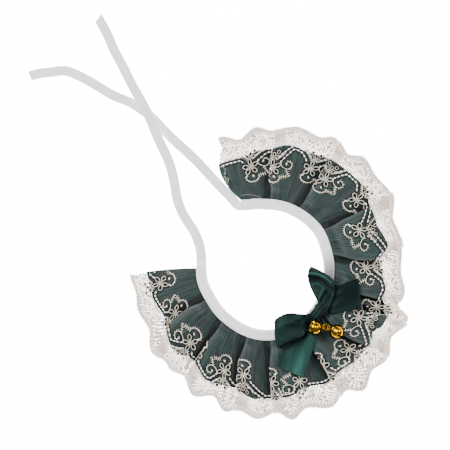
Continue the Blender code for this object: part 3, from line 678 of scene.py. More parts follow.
def panelHeight(startHigh, finishHigh, share):
    form = clothForm
    pleatHeight = 2 * (form["innerBend"] + form["outerBend"])
    if startHigh and finishHigh:
        return pleatHeight + form["crest"] * math.sin(math.pi * share)
    if not startHigh and not finishHigh:
        return form["lowCrest"] * math.sin(math.pi * share)
    fall = share if startHigh else 1.0 - share
    crest = 2.0 * form["crest"] * math.sin(math.pi * fall) * (1.0 - fall)
    return pleatHeight * (1.0 - smoothStep(fall)) + crest


def clothColumns():    # each column: places at all radii, and its tint
    form = clothForm
    radii = np.arange(*form["radii"])
    rows = (form["start"], *form["folds"], form["finish"])
    columns = []

    def addColumn(angle, height, outer, tint):
        rise = smoothStep((radii - outer) / form["riseLength"])
        turn = np.radians(angle)
        x = form["centre"][0] + radii * np.cos(turn)
        y = form["centre"][1] + radii * np.sin(turn)
        columns.append((np.column_stack([x, y, form["lowest"] + height * rise]), tint))

    for number, (before, after) in enumerate(zip(rows, rows[1:])):
        outer = radiusFrom(bindingLine, before[0]) + bindingWidth / 2
        distance = radii - outer
        if number > 0:
            last = len(foldSection(before[4])) - 1
            for index in range(last + 1):
                across, height = foldPoint(before, index, distance)
                high = (index if before[3] == "next" else last - index) / last
                angle = edgeAngle(before, radii) - np.degrees(across / radii)
                foldEdgeLight = 1.0 if high > 0.9 else 0.75 if high > 0.8 else 0.0    # painted highlight on the fold's edge, painted shade in the crease under it
                addColumn(angle, height, outer, foldEdgeLight)
        startHigh = number > 0 and before[3] == "next"
        finishHigh = len(after) > 3 and after[3] == "previous"
        steps = max(6, round((before[1] - after[1]) / form["faceStep"]))
        start = edgeAngle(before, radii)
        finish = edgeAngle(after, radii)
        if number > 0:
            start = start - np.degrees(foldPoint(before, last, distance)[0] / radii)
        if len(after) > 3:
            finish = finish - np.degrees(foldPoint(after, 0, distance)[0] / radii)
        phases = [random.uniform(0, 2 * math.pi) for _ in range(3)]
        for step in range(0 if number == 0 else 1, steps + (1 if number == len(rows) - 2 else 0)):
            share = step / steps
            window = math.sin(math.pi * share)
            creases = 0.0
            for order, phase in enumerate(phases):    # soft gathers that fan out from the neck
                turn = (3 + 2 * order) * math.pi * share + phase
                creases = creases + math.sin(turn) / (1 + order)
            fade = np.exp(-np.maximum(distance, 0) / form["crinkleFade"])
            fade = form["crinkleLeft"] + (1.0 - form["crinkleLeft"]) * fade
            gathers = form["crinkle"] * window * creases * fade
            height = panelHeight(startHigh, finishHigh, share) + gathers
            tint = panelLightAndShade(number > 0, startHigh, len(after) > 3, finishHigh, share)
            addColumn(mix(start, finish, share), height, outer, tint)
    return radii, columns


def panelLightAndShade(foldBefore, startHigh, foldAfter, finishHigh, share):    # painted highlight and shade beside the folds, see taffetaMaterial
    tint = 0.5
    above, below = clothForm["edgeLightAndShade"]
    sides = ((foldBefore, startHigh, share), (foldAfter, finishHigh, 1.0 - share))
    for isFold, high, fromEdge in sides:
        if isFold:
            near = 1.0 - float(smoothStep(fromEdge / clothForm["edgeReach"]))
            tint += (above if high else below) * near
    return tint


def clothSurface():
    radii, columns = clothColumns()
    points = np.array([column[0] for column in columns])    # column, radius, xyz
    tints = np.array([column[1] for column in columns])
    normals = unit(np.cross(np.gradient(points, axis=0), np.gradient(points, axis=1)))
    ruler = int(clothForm["rulerRadius"] - clothForm["radii"][0])
    places = distanceAlong(points[:, ruler])
    return {"radii": radii, "points": points, "normals": normals, "tints": tints, "places": places}


cloth = clothSurface()
clothLength = float(cloth["places"][-1])
print("cloth", len(cloth["places"]), "columns, length", round(clothLength), "mm")


def onCloth(place, radius, lift=0.0):    # a point and its upward direction
    column = np.interp(place, cloth["places"], np.arange(len(cloth["places"])))
    row = np.clip(np.asarray(radius) - cloth["radii"][0], 0, len(cloth["radii"]) - 1.001)
    i = np.minimum(column.astype(int), len(cloth["places"]) - 2)
    j = row.astype(int)
    a, b = (column - i)[..., None], (row - j)[..., None]

    def sample(table):
        near = mix(table[i, j], table[i, j + 1], b)
        far = mix(table[i + 1, j], table[i + 1, j + 1], b)
        return mix(near, far, a)

    normal = unit(sample(cloth["normals"]))
    return sample(cloth["points"]) + normal * np.asarray(lift)[..., None], normal


def angleOf(points):    # degrees about the neck opening, running on past -180
    x = points[..., 0] - clothForm["centre"][0]
    y = points[..., 1] - clothForm["centre"][1]
    angle = np.degrees(np.arctan2(y, x))
    return np.where(angle > 150.0, angle - 360.0, angle)


def rowRadius(place, radiusAt):    # radius of a row whose radius depends on the angle
    radius = np.full(np.shape(place), clothForm["middleRadius"])
    for _ in range(3):
        radius = radiusAt(angleOf(onCloth(place, radius)[0]))
    return radius


def bindingOuter(angle):
    return radiusFrom(bindingLine, angle) + bindingWidth / 2


def greenRadius(angle):
    return radiusFrom(greenHem, angle)


def laceRadius(angle):
    return radiusFrom(laceHem, angle)


def tintAt(place):
    return np.interp(place, cloth["places"], cloth["tints"])


# flowers as they show from above: angle and radius of the middle, and the motif's turn
flowerPlaces = (
    (98.2, 83.2, 0.0), (86.6, 82.0, 0.0), (66.0, 88.5, 0.0), (58.1, 86.2, 0.0), (37.4, 91.6, 0.0),
    (23.7, 80.5, -18.0), (2.0, 79.2, 0.0), (-17.9, 92.5, 0.0), (-26.3, 82.1, 0.0),
    (-43.4, 91.2, 0.0), (-59.6, 88.0, 0.0), (-72.7, 91.8, 0.0), (-88.0, 89.3, 0.0),
    (-102.0, 84.6, 0.0), (-112.4, 86.1, 0.0), (-136.0, 83.4, 0.0), (-154.4, 80.0, 0.0),
    (-173.7, 84.5, 0.0),
)
flowerPitch = 38.0    # along the cloth


def findPlace(angle, radius):    # along the cloth, of the topmost layer at an angle and radius
    places = np.arange(0.0, clothLength, 0.5)
    points, _ = onCloth(places, np.full(len(places), radius))
    near = np.abs(angleOf(points) - angle) < 0.6
    if not near.any():
        near = np.abs(angleOf(points) - angle) < 1.5
    index = np.where(near)[0]
    return float(places[index[np.argmax(points[index, 2])]])


def flowersAlongCloth():
    flowers = [(findPlace(angle, radius), radius, turn) for angle, radius, turn in flowerPlaces]
    full = []
    for flower, following in zip(flowers, flowers[1:]):
        full.append(flower)
        missing = round((following[0] - flower[0]) / flowerPitch) - 1    # hidden in a fold
        for number in range(missing):
            share = (number + 1) / (missing + 1)
            place, radius = (mix(flower[k], following[k], share) for k in range(2))
            full.append((place, radius, 0.0))
    full.append(flowers[-1])
    return full


flowers = flowersAlongCloth()
print("flowers", [(round(flower[0]), round(flower[1])) for flower in flowers])


# the green cloth

greenForm = {
    "wall": 0.35,
    "lift": -0.25,
    "rows": 34,
    "neckInset": 1.8,
    "shade": 0.06,        # painted shade: the cloth is darker in the embroidered band
    "shadeAt": 0.42,      # the band's inner edge and its blur, as shares of the way to the hem
    "shadeBlur": 0.2,
    "crownShade": 0.3,    # and darker still behind each flower's crown
    "crownOut": 10.0,
    "crownReach": (8.5, 5.0),
}


def crownShadow(places, radius):    # 1 behind a flower's crown, 0 away from it
    across, out = greenForm["crownReach"]
    shadow = np.zeros(len(places))
    for place, middle, _ in flowers:
        beyond = radius - middle - greenForm["crownOut"]
        far = ((places - place) / across) ** 2 + (beyond / out) ** 2
        shadow = np.maximum(shadow, np.exp(-far * far))
    return shadow


def addGreenCloth():
    form = greenForm
    places = cloth["places"]
    inner = rowRadius(places, lambda angle: radiusFrom(bindingLine, angle) - form["neckInset"])
    outer = rowRadius(places, greenRadius)
    shares = np.linspace(0.0, 1.0, form["rows"])
    grid = []
    marks = []
    for share in shares:
        radius = mix(inner, outer, share)
        point, _ = onCloth(places, radius, form["lift"])
        grid.append(point)
        band = smoothStep((share - form["shadeAt"]) / form["shadeBlur"])
        # painted shade in the embroidered band and behind each flower's crown
        tint = tintAt(places) - form["shade"] * band
        tint = tint - form["crownShade"] * crownShadow(places, radius)
        marks.append(np.column_stack([places, radius, tint]))
    pile = newPile()
    addSheet(pile, np.array(grid), np.array(marks))
    green = makePiece("greenCloth", pile, taffeta, wall=form["wall"])
    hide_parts("ruffle")


addGreenCloth()
print("green cloth made")


# the lace border: a net, a ladder of stitches along its hem, and a rim of picots

laceForm = {
    "lift": -1.0,
    "wall": 0.3,
    "cell": 2.1,           # of the net, along the cloth
    "rows": 19,
    "zigzag": 0.2,         # share of a row
    "jitter": 0.28,
    "closedShare": 0.25,   # cells closed by fine tulle, the others have a small hole in it
    "hole": 0.295,         # share of a cell
    "shadedTulle": 0.60,
    "dimple": 0.25,        # the tulle between the threads lies lower
    "rimRows": 2,          # closed all round under the ladder
    "tuck": 0.73,          # share of the way from the binding to the green hem
    "ladder": 4.4,         # width of the ladder
    "ladderGap": 1.9,
    "picot": 1.9,
    "picotHeight": 0.9,
    "thread": 0.5,
    "whitest": 2.0,        # the net is whitest this far beyond the green hem
    "whiteReach": 3.5,
    "whiteness": 0.8,
    "silky": 0.35,         # how white the ladder and the rim are
}


def laceTuckRadius(angle):
    return mix(bindingOuter(angle), greenRadius(angle), laceForm["tuck"])


def addCellRing(pile, outerRing, ring):    # the next ring inwards, joined to the last one
    start = addPoints(pile, ring[:, :3], ring[:, 3:])
    innerRing = range(start, start + 6)
    for side in range(6):
        following = (side + 1) % 6
        pile["faces"].append((outerRing[side], outerRing[following],
                              innerRing[following], innerRing[side]))
    return innerRing


def addLaceNet(name, startShare, finishShare):
    form = laceForm
    halves = int((finishShare - startShare) * clothLength / form["cell"] * 2) // 2 * 2
    columns = np.linspace(startShare, finishShare, halves + 1) * clothLength
    inner = rowRadius(columns, laceTuckRadius)
    outer = rowRadius(columns, laceRadius) - 0.6    # the rim of picots goes past it
    hem = rowRadius(columns, greenRadius)
    lines = []
    for line in range(form["rows"] + 1):
        shift = form["zigzag"] * np.where((np.arange(halves + 1) + line) % 2 == 0, 1.0, -1.0)
        if line in (0, form["rows"]):
            shift = shift * 0.0
        if 0 < line < form["rows"]:
            shift = shift + form["jitter"] * np.array([random.uniform(-1, 1) for _ in columns])
        radius = mix(inner, outer, (line + shift) / form["rows"])
        point, _ = onCloth(columns, radius, form["lift"])
        white = np.exp(-((radius - hem - form["whitest"]) / form["whiteReach"]) ** 2)
        white = white * form["whiteness"]
        lines.append(np.column_stack([point, columns, radius, white]))
    lines = np.array(lines)
    pile = newPile()
    addPoints(pile, lines[..., :3], lines[..., 3:])
    width = halves + 1
    for row in range(form["rows"]):
        for column in range(row % 2, halves - 1, 2):
            corners = [(row, column), (row + 1, column), (row + 1, column + 1),
                       (row + 1, column + 2), (row, column + 2), (row, column + 1)]
            cell = np.array([lines[corner] for corner in corners])
            middle = cell.mean(axis=0)
            shadedTulle = middle + (cell - middle) * form["shadedTulle"]
            shadedTulle[:, 2] -= form["dimple"]
            # painted shade: the tulle takes the dark tulle colour in full
            shadedTulle[:, 5] = middle[5] - 1.0
            outerRing = [line * width + place for line, place in corners]
            innerRing = addCellRing(pile, outerRing, shadedTulle)
            isRim = row >= form["rows"] - form["rimRows"]
            if isRim or random.random() < form["closedShare"]:
                pile["faces"].append(tuple(innerRing))
                continue
            hole = middle + (cell - middle) * form["hole"] * random.uniform(0.7, 1.25)
            hole[:, 2] -= form["dimple"]
            # painted shade round the hole, in part
            hole[:, 5] = middle[5] - 0.6
            addCellRing(pile, innerRing, hole)
    net = makePiece(name, pile, laceThread, wall=form["wall"])
    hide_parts("lace_border")
    return net


def addLaceHem():
    form = laceForm
    ladder = newPile()
    silky = (0.0, 0.0, form["silky"])
    places = np.arange(0.4, clothLength - 0.4, form["ladderGap"])
    hem = rowRadius(places, laceRadius)
    for place, radius in zip(places, hem):
        radii = np.linspace(radius - form["ladder"] - 0.3, radius - 0.4, 5)
        line, normal = onCloth(np.full(5, place), radii, form["lift"] + 0.15)
        width = form["thread"] * random.uniform(1.0, 1.35)
        widths = width * np.array((0.8, 1.4, 1.5, 1.4, 0.9))
        addTube(ladder, line, normal, widths, 0.45, 5, silky)
    for inset in (form["ladder"], form["ladder"] * 0.62, 0.7):    # three rails
        places = np.arange(0.2, clothLength - 0.2, 0.9)
        radius = rowRadius(places, laceRadius) - inset
        line, normal = onCloth(places, radius, form["lift"] + 0.1)
        addTube(ladder, line, normal, form["thread"], 0.42, 5, silky)
    makePiece("laceLadder", ladder, laceThread)

    rim = newPile()
    places = np.arange(0.2, clothLength - 0.2, 0.32)
    arch = np.abs(np.sin(math.pi * places / form["picot"]))
    radius = rowRadius(places, laceRadius) - 0.4 + form["picotHeight"] * arch
    line, normal = onCloth(places, radius, form["lift"])
    addTube(rim, line, normal, 0.5, 0.42, 5, silky)
    makePiece("lacePicots", rim, laceThread)


netPieces = [addLaceNet("laceNetUpper", 0.0, 0.34), addLaceNet("laceNetSide", 0.34, 0.67),
             addLaceNet("laceNetLower", 0.67, 1.0)]
addLaceHem()
print("lace made")


# the embroidery: flowers, curls and festoons of cord, generic forms laid along the cloth

motif = {    # across (clockwise) and outwards from the flower's middle
    "cord": 0.62,             # width
    "thin": 0.46,
    "height": 0.6,
    "petals": ((168.0, 6.3, 4.0), (98.0, 6.9, 3.2), (32.0, 6.9, 3.4), (-38.0, 6.1, 3.8),
               (-126.0, 6.3, 3.8)),    # turn, length, width
    "ringAt": (0.1, 7.9),
    "ringRadius": 0.95,
    "crown": ((-2.7, 9.2, 122.0, 3.8), (2.8, 9.0, 58.0, 3.8), (0.1, 11.2, 92.0, 3.8),
              (-3.4, 13.4, 112.0, 3.8), (3.5, 13.2, 68.0, 3.8)),
    "crownWidth": 3.0,
    "crownCord": 0.42,
    "stems": (((-1.6, 6.4), (-4.3, 8.6), (-7.6, 12.0), (-8.8, 14.2)),
              ((1.7, 6.4), (4.5, 8.4), (7.8, 11.6), (9.0, 13.8))),
    "bowlCentre": (0.6, -7.5),    # the curl on the neck side
    "bowlRadii": (5.4, 3.8),
    "bowlTurns": (168.0, 354.0),
    "bowlKnob": ((-4.8, -7.2), (-3.9, -6.4), (-2.9, -6.3)),
    "bowlBead": ((0.9, -6.3), (1.6, -6.8), (2.3, -7.4)),
    "scroll": ((5.9, 4.6), (6.4, 2.8), (8.0, 1.4), (10.6, 0.6), (12.9, 0.8), (14.8, 2.7),
               (15.3, 4.9), (13.5, 6.5), (11.1, 6.3), (10.3, 4.6)),
    "scrollTeeth": (0.40, 0.92),
    "scrollKnob": ((10.3, 5.2), (10.3, 4.4), (10.9, 3.9)),
    "tail": ((10.7, 0.6), (11.9, -1.3), (12.9, -3.3), (14.4, -5.0)),
    "sprig": ((5.6, -7.0), (7.4, -6.3), (9.6, -6.0), (12.0, -5.4)),
    "tooth": 1.5,
    "toothGap": 1.75,
    # swags between flowers: across and outwards from the flower, rise, room left to the hem
    "festoons": ((5.4, 4.2, 11.1, -2.2), (3.7, 8.6, 9.8, 1.2)),
    "shortestSwag": 5.0,
    "swagPeak": 1.35,
    "swagThread": (0.42, 0.3),    # width and height of the thread between two dashes
    "dash": 2.0,
    "dashWidth": 1.6,
    "dashGap": 3.5,
    "shadowAndFill": 1.7,          # painted shadow beside the cords: a dark strip this much wider than the cord
    "shadowInset": 0.3,     # kept from the green hem
    "ends": 0.6,              # kept from the cloth's two ends
    "spread": 0.85,           # 1 would keep a motif as wide near the neck as at the hem
    "hemDrop": 0.75,          # from the green cloth down to the lace, and its ramp
    "hemRamp": (-0.4, 1.6),
    "laceDot": 0.62,          # size of a dark loop on the lace, and how far out they go
    "laceDotReach": 5.0,
    "petalSwing": 4.0,
    "petalFoot": 0.6,
    "toothWidths": (0.62, 0.55, 0.4),
    "toothLean": 0.3,
    "knobWidths": (1.2, 1.8, 1.3),
}


def layLine(flower, points, lift):    # motif points laid on the cloth
    place, radius, turn = flower
    turn = math.radians(turn)
    across = points[:, 0] * math.cos(turn) - points[:, 1] * math.sin(turn)
    out = points[:, 0] * math.sin(turn) + points[:, 1] * math.cos(turn)
    radii = radius + out
    places = place + across * (clothForm["rulerRadius"] / radii) ** motif["spread"]
    inside = (places > motif["ends"]) & (places < clothLength - motif["ends"])
    line, normal = onCloth(places, radii, lift - overHem(places, radii))
    return line, normal, inside


def overHem(places, radii):    # beyond the green hem the cords drop onto the lace
    start, width = motif["hemRamp"]
    hem = rowRadius(places, greenRadius)
    return motif["hemDrop"] * smoothStep((radii - hem - start) / width)


def pastHem(line):    # how far points lie beyond the green hem
    reach = np.linalg.norm(line[:, :2] - clothForm["centre"], axis=1)
    return reach - greenRadius(angleOf(line))


def addCord(pile, flower, points, width, sides=5):
    line, normal, inside = layLine(flower, np.asarray(points, float), motif["height"] * 0.35)
    if inside.all() and len(line) > 1:
        addTube(pile, line, normal, width, motif["height"], sides)
        if sides > 4:
            addShadowStrip(line, normal, np.max(width) + motif["shadowAndFill"])


def fillLoop(flower, points):    # a dark fill inside a loop of cord
    line, _, inside = layLine(flower, np.asarray(points, float), motif["height"] * 0.13)
    beyond = pastHem(line).mean()
    if beyond > 0.5:    # on the lace it is only a dark dot
        line = mix(line.mean(axis=0), line, motif["laceDot"])
    if inside.all() and beyond < motif["laceDotReach"]:
        start = addPoints(shadowAndFill, line)
        shadowAndFill["faces"].append(tuple(range(start, start + len(line))))


def addShadowStrip(line, normal, width):    # a flat dark strip on the green cloth: painted shadow beside a cord or dash
    low = line - normal * motif["height"] * 0.22
    across = unit(np.cross(unit(np.gradient(low, axis=0)), normal)) * width / 2
    if (pastHem(line) < -motif["shadowInset"]).all():
        addSheet(shadowAndFill, np.stack([low - across, low + across], axis=1))


def loopLine(foot, turn, length, width, pinch=0.1):    # a closed petal, slim at its foot
    t = np.linspace(0.1, 2 * math.pi - 0.1, 17)
    share = (1.0 - np.cos(t)) / 2
    out = share * (length - motif["cord"])
    swell = pinch + (1.0 - pinch) * smoothStep(share / 0.6)
    side = (width - motif["cord"]) / 2 * np.sin(t) * swell
    angle = math.radians(turn)
    x = foot[0] + out * math.cos(angle) - side * math.sin(angle)
    y = foot[1] + out * math.sin(angle) + side * math.cos(angle)
    return np.column_stack([x, y])


def arcLine(centre, radii, start=0.0, finish=360.0, count=13):
    turn = np.radians(np.linspace(start, finish, count))
    x = centre[0] + radii[0] * np.cos(turn)
    y = centre[1] + radii[1] * np.sin(turn)
    return np.column_stack([x, y])


def addTeeth(pile, flower, line, side, reach=1.0):    # short stitches like a comb along a line
    gaps = distanceAlong(line)
    headings = unit(np.gradient(line, axis=0))
    for distance in np.arange(0.6, gaps[-1], motif["toothGap"]):
        root = np.array([np.interp(distance, gaps, line[:, k]) for k in range(2)])
        heading = np.array([np.interp(distance, gaps, headings[:, k]) for k in range(2)])
        out = np.array((-heading[1], heading[0])) * side
        tip = root + (out + heading * motif["toothLean"]) * motif["tooth"] * reach
        addCord(pile, flower, np.linspace(root, tip, 3), np.array(motif["toothWidths"]), 4)


def addFlower(pile, centres, flower):
    for turn, length, width in motif["petals"]:
        turn += random.uniform(-motif["petalSwing"], motif["petalSwing"])
        angle = math.radians(turn)
        foot = (motif["petalFoot"] * math.cos(angle), motif["petalFoot"] * math.sin(angle))
        petal = loopLine(foot, turn, length, width)
        fillLoop(flower, petal)
        addCord(pile, flower, petal, motif["cord"])
    ring = (motif["ringRadius"], motif["ringRadius"])
    addCord(pile, flower, arcLine(motif["ringAt"], ring), motif["thin"])
    for x, y, turn, length in motif["crown"]:
        angle = math.radians(turn)
        foot = (x - length / 2 * math.cos(angle), y - length / 2 * math.sin(angle))
        eyelet = loopLine(foot, turn, length, motif["crownWidth"], 0.7)
        fillLoop(flower, eyelet)
        addCord(pile, flower, eyelet, motif["crownCord"])
    for stem in motif["stems"]:
        line = curveThrough(stem, 1.4)
        addCord(pile, flower, line, motif["thin"])
        addTeeth(pile, flower, line, 1)
    bowl = arcLine(motif["bowlCentre"], motif["bowlRadii"], *motif["bowlTurns"], 19)
    addCord(pile, flower, bowl, motif["cord"] * 1.25)
    addTeeth(pile, flower, bowl, -1, 0.8)
    scroll = curveThrough(motif["scroll"], 0.9)
    addCord(pile, flower, scroll, motif["cord"])
    first, last = (int(share * len(scroll)) for share in motif["scrollTeeth"])
    addTeeth(pile, flower, scroll[first:last], -1, 0.8)
    for name in ("bowlKnob", "bowlBead", "scrollKnob"):
        addCord(pile, flower, motif[name], np.array(motif["knobWidths"]), 6)
    for name in ("tail", "sprig"):
        line = curveThrough(motif[name], 1.0)
        addCord(pile, flower, line, motif["cord"] * 0.9)
        addTeeth(pile, flower, line, 1)
        addTeeth(pile, flower, line, -1)
    addCord(centres, flower, arcLine((0.0, 0.1), (0.5, 0.5), count=9), 0.8)


def addFestoon(dashes, threads, first, second):    # two swags of silk dashes between flowers
    for across, out, rise, room in motif["festoons"]:
        span = second[0] - first[0] - 2 * across
        if span < motif["shortestSwag"]:
            continue
        shares = np.linspace(0.0, 1.0, 61)
        hump = 1.0 - np.abs(2.0 * shares - 1.0) ** motif["swagPeak"]
        places = first[0] + across + span * shares
        wanted = mix(first[1], second[1], shares) + out + rise * hump
        clamped = np.clip(places, 0.5, clothLength - 0.5)
        radii = np.minimum(wanted, rowRadius(clamped, greenRadius) + room)
        steps = np.hypot(np.diff(places), np.diff(radii))
        gone = np.concatenate([[0.0], np.cumsum(steps)])
        count = max(2, round(gone[-1] / 2 / motif["dashGap"])) * 2 + 1    # one dash at the top
        pitch = gone[-1] / count
        for number in range(count):
            middle = (number + 0.5) * pitch
            reach = middle + np.linspace(-0.5, 0.5, 5) * motif["dash"]
            layDash(dashes, gone, places, radii, reach, motif["dashWidth"], motif["height"])
            reach = middle + np.linspace(0.45 * motif["dash"], pitch - 0.45 * motif["dash"], 3)
            layDash(threads, gone, places, radii, reach, *motif["swagThread"])


def layDash(pile, gone, places, radii, reach, width, height):
    dashPlaces = np.interp(reach, gone, places)
    dashRadii = np.interp(reach, gone, radii)
    if dashPlaces[0] < motif["ends"] or dashPlaces[-1] > clothLength - motif["ends"]:
        return
    line, normal = onCloth(dashPlaces, dashRadii, height * 0.5 - overHem(dashPlaces, dashRadii))
    addShadowStrip(line, normal, width + motif["shadowAndFill"])
    bulge = np.sin(math.pi * np.linspace(0.12, 0.88, len(reach)))
    addTube(pile, line, normal, width * bulge, height * bulge, 6)


shadowAndFill = newPile()
embroidery = newPile()
flowerCentres = newPile()
silkDashes = newPile()
for flower in flowers:
    addFlower(embroidery, flowerCentres, flower)
edgeFlowers = [(flowers[0][0] - flowerPitch, *flowers[0][1:]), *flowers,
               (flowers[-1][0] + flowerPitch, *flowers[-1][1:])]
for flower in (edgeFlowers[0], edgeFlowers[-1]):    # cut through by the cloth's two ends
    addFlower(embroidery, flowerCentres, flower)
for first, second in zip(edgeFlowers, edgeFlowers[1:]):
    addFestoon(silkDashes, embroidery, first, second)
makePiece("embroideryShadowAndFill", shadowAndFill, shadowAndFillDark)
makePiece("embroideryCord", embroidery, creamCord)
makePiece("flowerCentres", flowerCentres, brownCord)
makePiece("silkDashes", silkDashes, whiteSilk)
print("embroidery made,", len(embroidery["faces"]) + len(silkDashes["faces"]), "faces")


# the tape folded round the gathered neck edge

bindingForm = {
    "start": 110.4,
    "finish": -183.9,
    "step": 1.2,
    "height": 3.6,
    "wall": 0.9,
    "stitch": 2.0,
    "stitchGap": 2.7,
    "stitchInset": 1.1,
    "shadeAt": -4.0,       # degrees, beside the bow
    "shadeReach": 15.0,
    "pucker": 0.10,        # the sewing draws the tape in
    "puckerLengths": (1.9, 7.3),
    "rawEdge": ((109.4, 63.4), (106.5, 63.0), (104.0, 62.5), (100.5, 61.6), (97.0, 60.2),
                (93.4, 58.0)),    # angle and radius, where the cloth's cut edge shows
}


def bindingFrame(angle):
    turn = math.radians(angle)
    radius = float(radiusFrom(bindingLine, angle))
    centre = clothForm["centre"]
    return np.array((centre[0] + radius * math.cos(turn), centre[1] + radius * math.sin(turn), 0.0))


def bindingSection(pucker):    # across the tape from its outer edge, over the top and back
    half = bindingWidth / 2
    wall = bindingForm["wall"]
    top = bindingForm["height"]
    groove = -half + 1.4
    return (
        (half, 0.15), (half, wall), (groove, wall), (groove, top - wall), (half, top - wall),
        (half, top - 0.25 + pucker * 0.5), (half - 0.4, top - 0.1 + pucker * 0.7),
        (half - 1.6, top - 0.16 + pucker), (0.6, top + pucker * 0.5), (-half + 1.6, top),
        (-half + 0.7, top - 0.3), (-half + 0.15, top - 1.0), (-half, top / 2),
        (-half + 0.15, 0.9), (-half + 0.8, 0.15), (-half + 1.6, 0.0), (half - 0.3, 0.0),
    )


def addBinding():
    form = bindingForm
    count = round((form["start"] - form["finish"]) / form["step"])
    angles = np.linspace(form["start"], form["finish"], count + 1)
    line = np.array([bindingFrame(angle) for angle in angles])
    headings = np.array([bindingFrame(angle - 1.0) - bindingFrame(angle + 1.0)
                         for angle in angles])
    acrosses = unit(np.column_stack([-headings[:, 1], headings[:, 0], np.zeros(len(angles))]))
    ups = np.tile((0.0, 0.0, 1.0), (len(angles), 1))
    travelled = distanceAlong(line)
    short, long = form["puckerLengths"]
    waves = np.sin(travelled / short) * np.sin(travelled / long + 1.0)
    puckers = -form["pucker"] - form["pucker"] * waves
    sections = [bindingSection(pucker) for pucker in puckers]
    shades = np.exp(-(((angles - form["shadeAt"]) / form["shadeReach"]) ** 2))
    marks = [[(distance, a + b, shade * (0.85 + 0.15 * a / 4.0)) for a, b in section]
             for distance, shade, section in zip(travelled, shades, sections)]
    pile = newPile()
    addSweep(pile, line, acrosses, ups, sections, np.array(marks))
    binding = makePiece("neckBinding", pile, whiteTape)
    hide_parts("neck_binding")

    stitches = newPile()
    inset = bindingWidth / 2 - form["stitchInset"]
    for distance in np.arange(2.0, travelled[-1] - 2.0, form["stitchGap"]):
        steps = distance + np.linspace(0.0, form["stitch"], 4)
        middle = np.column_stack([np.interp(steps, travelled, line[:, k]) for k in range(3)])
        out = np.column_stack([np.interp(steps, travelled, acrosses[:, k]) for k in range(3)])
        thread = middle + out * inset + np.array((0.0, 0.0, form["height"] - 0.22))
        thread[:, 2] += np.array((-0.1, 0.08, 0.08, -0.1))
        addTube(stitches, thread, (0.0, 0.0, 1.0), 0.38, 0.34, 6)
    makePiece("bindingStitches", stitches, whiteThread)

    edge = np.array(form["rawEdge"])
    places = np.array([findPlace(angle, radius) for angle, radius in edge])
    line, _ = onCloth(places, edge[:, 1], 0.1)
    raw = newPile()
    addTube(raw, curveThrough(line, 1.0), (0.0, 0.0, 1.0), 0.55, 0.4, 6)
    makePiece("rawEdge", raw, frayedGreen)
    return float(travelled[-1])


bindingLength = addBinding()
print("binding made,", round(bindingLength), "mm round the neck")


# the bow: two loops, two tails and the knot

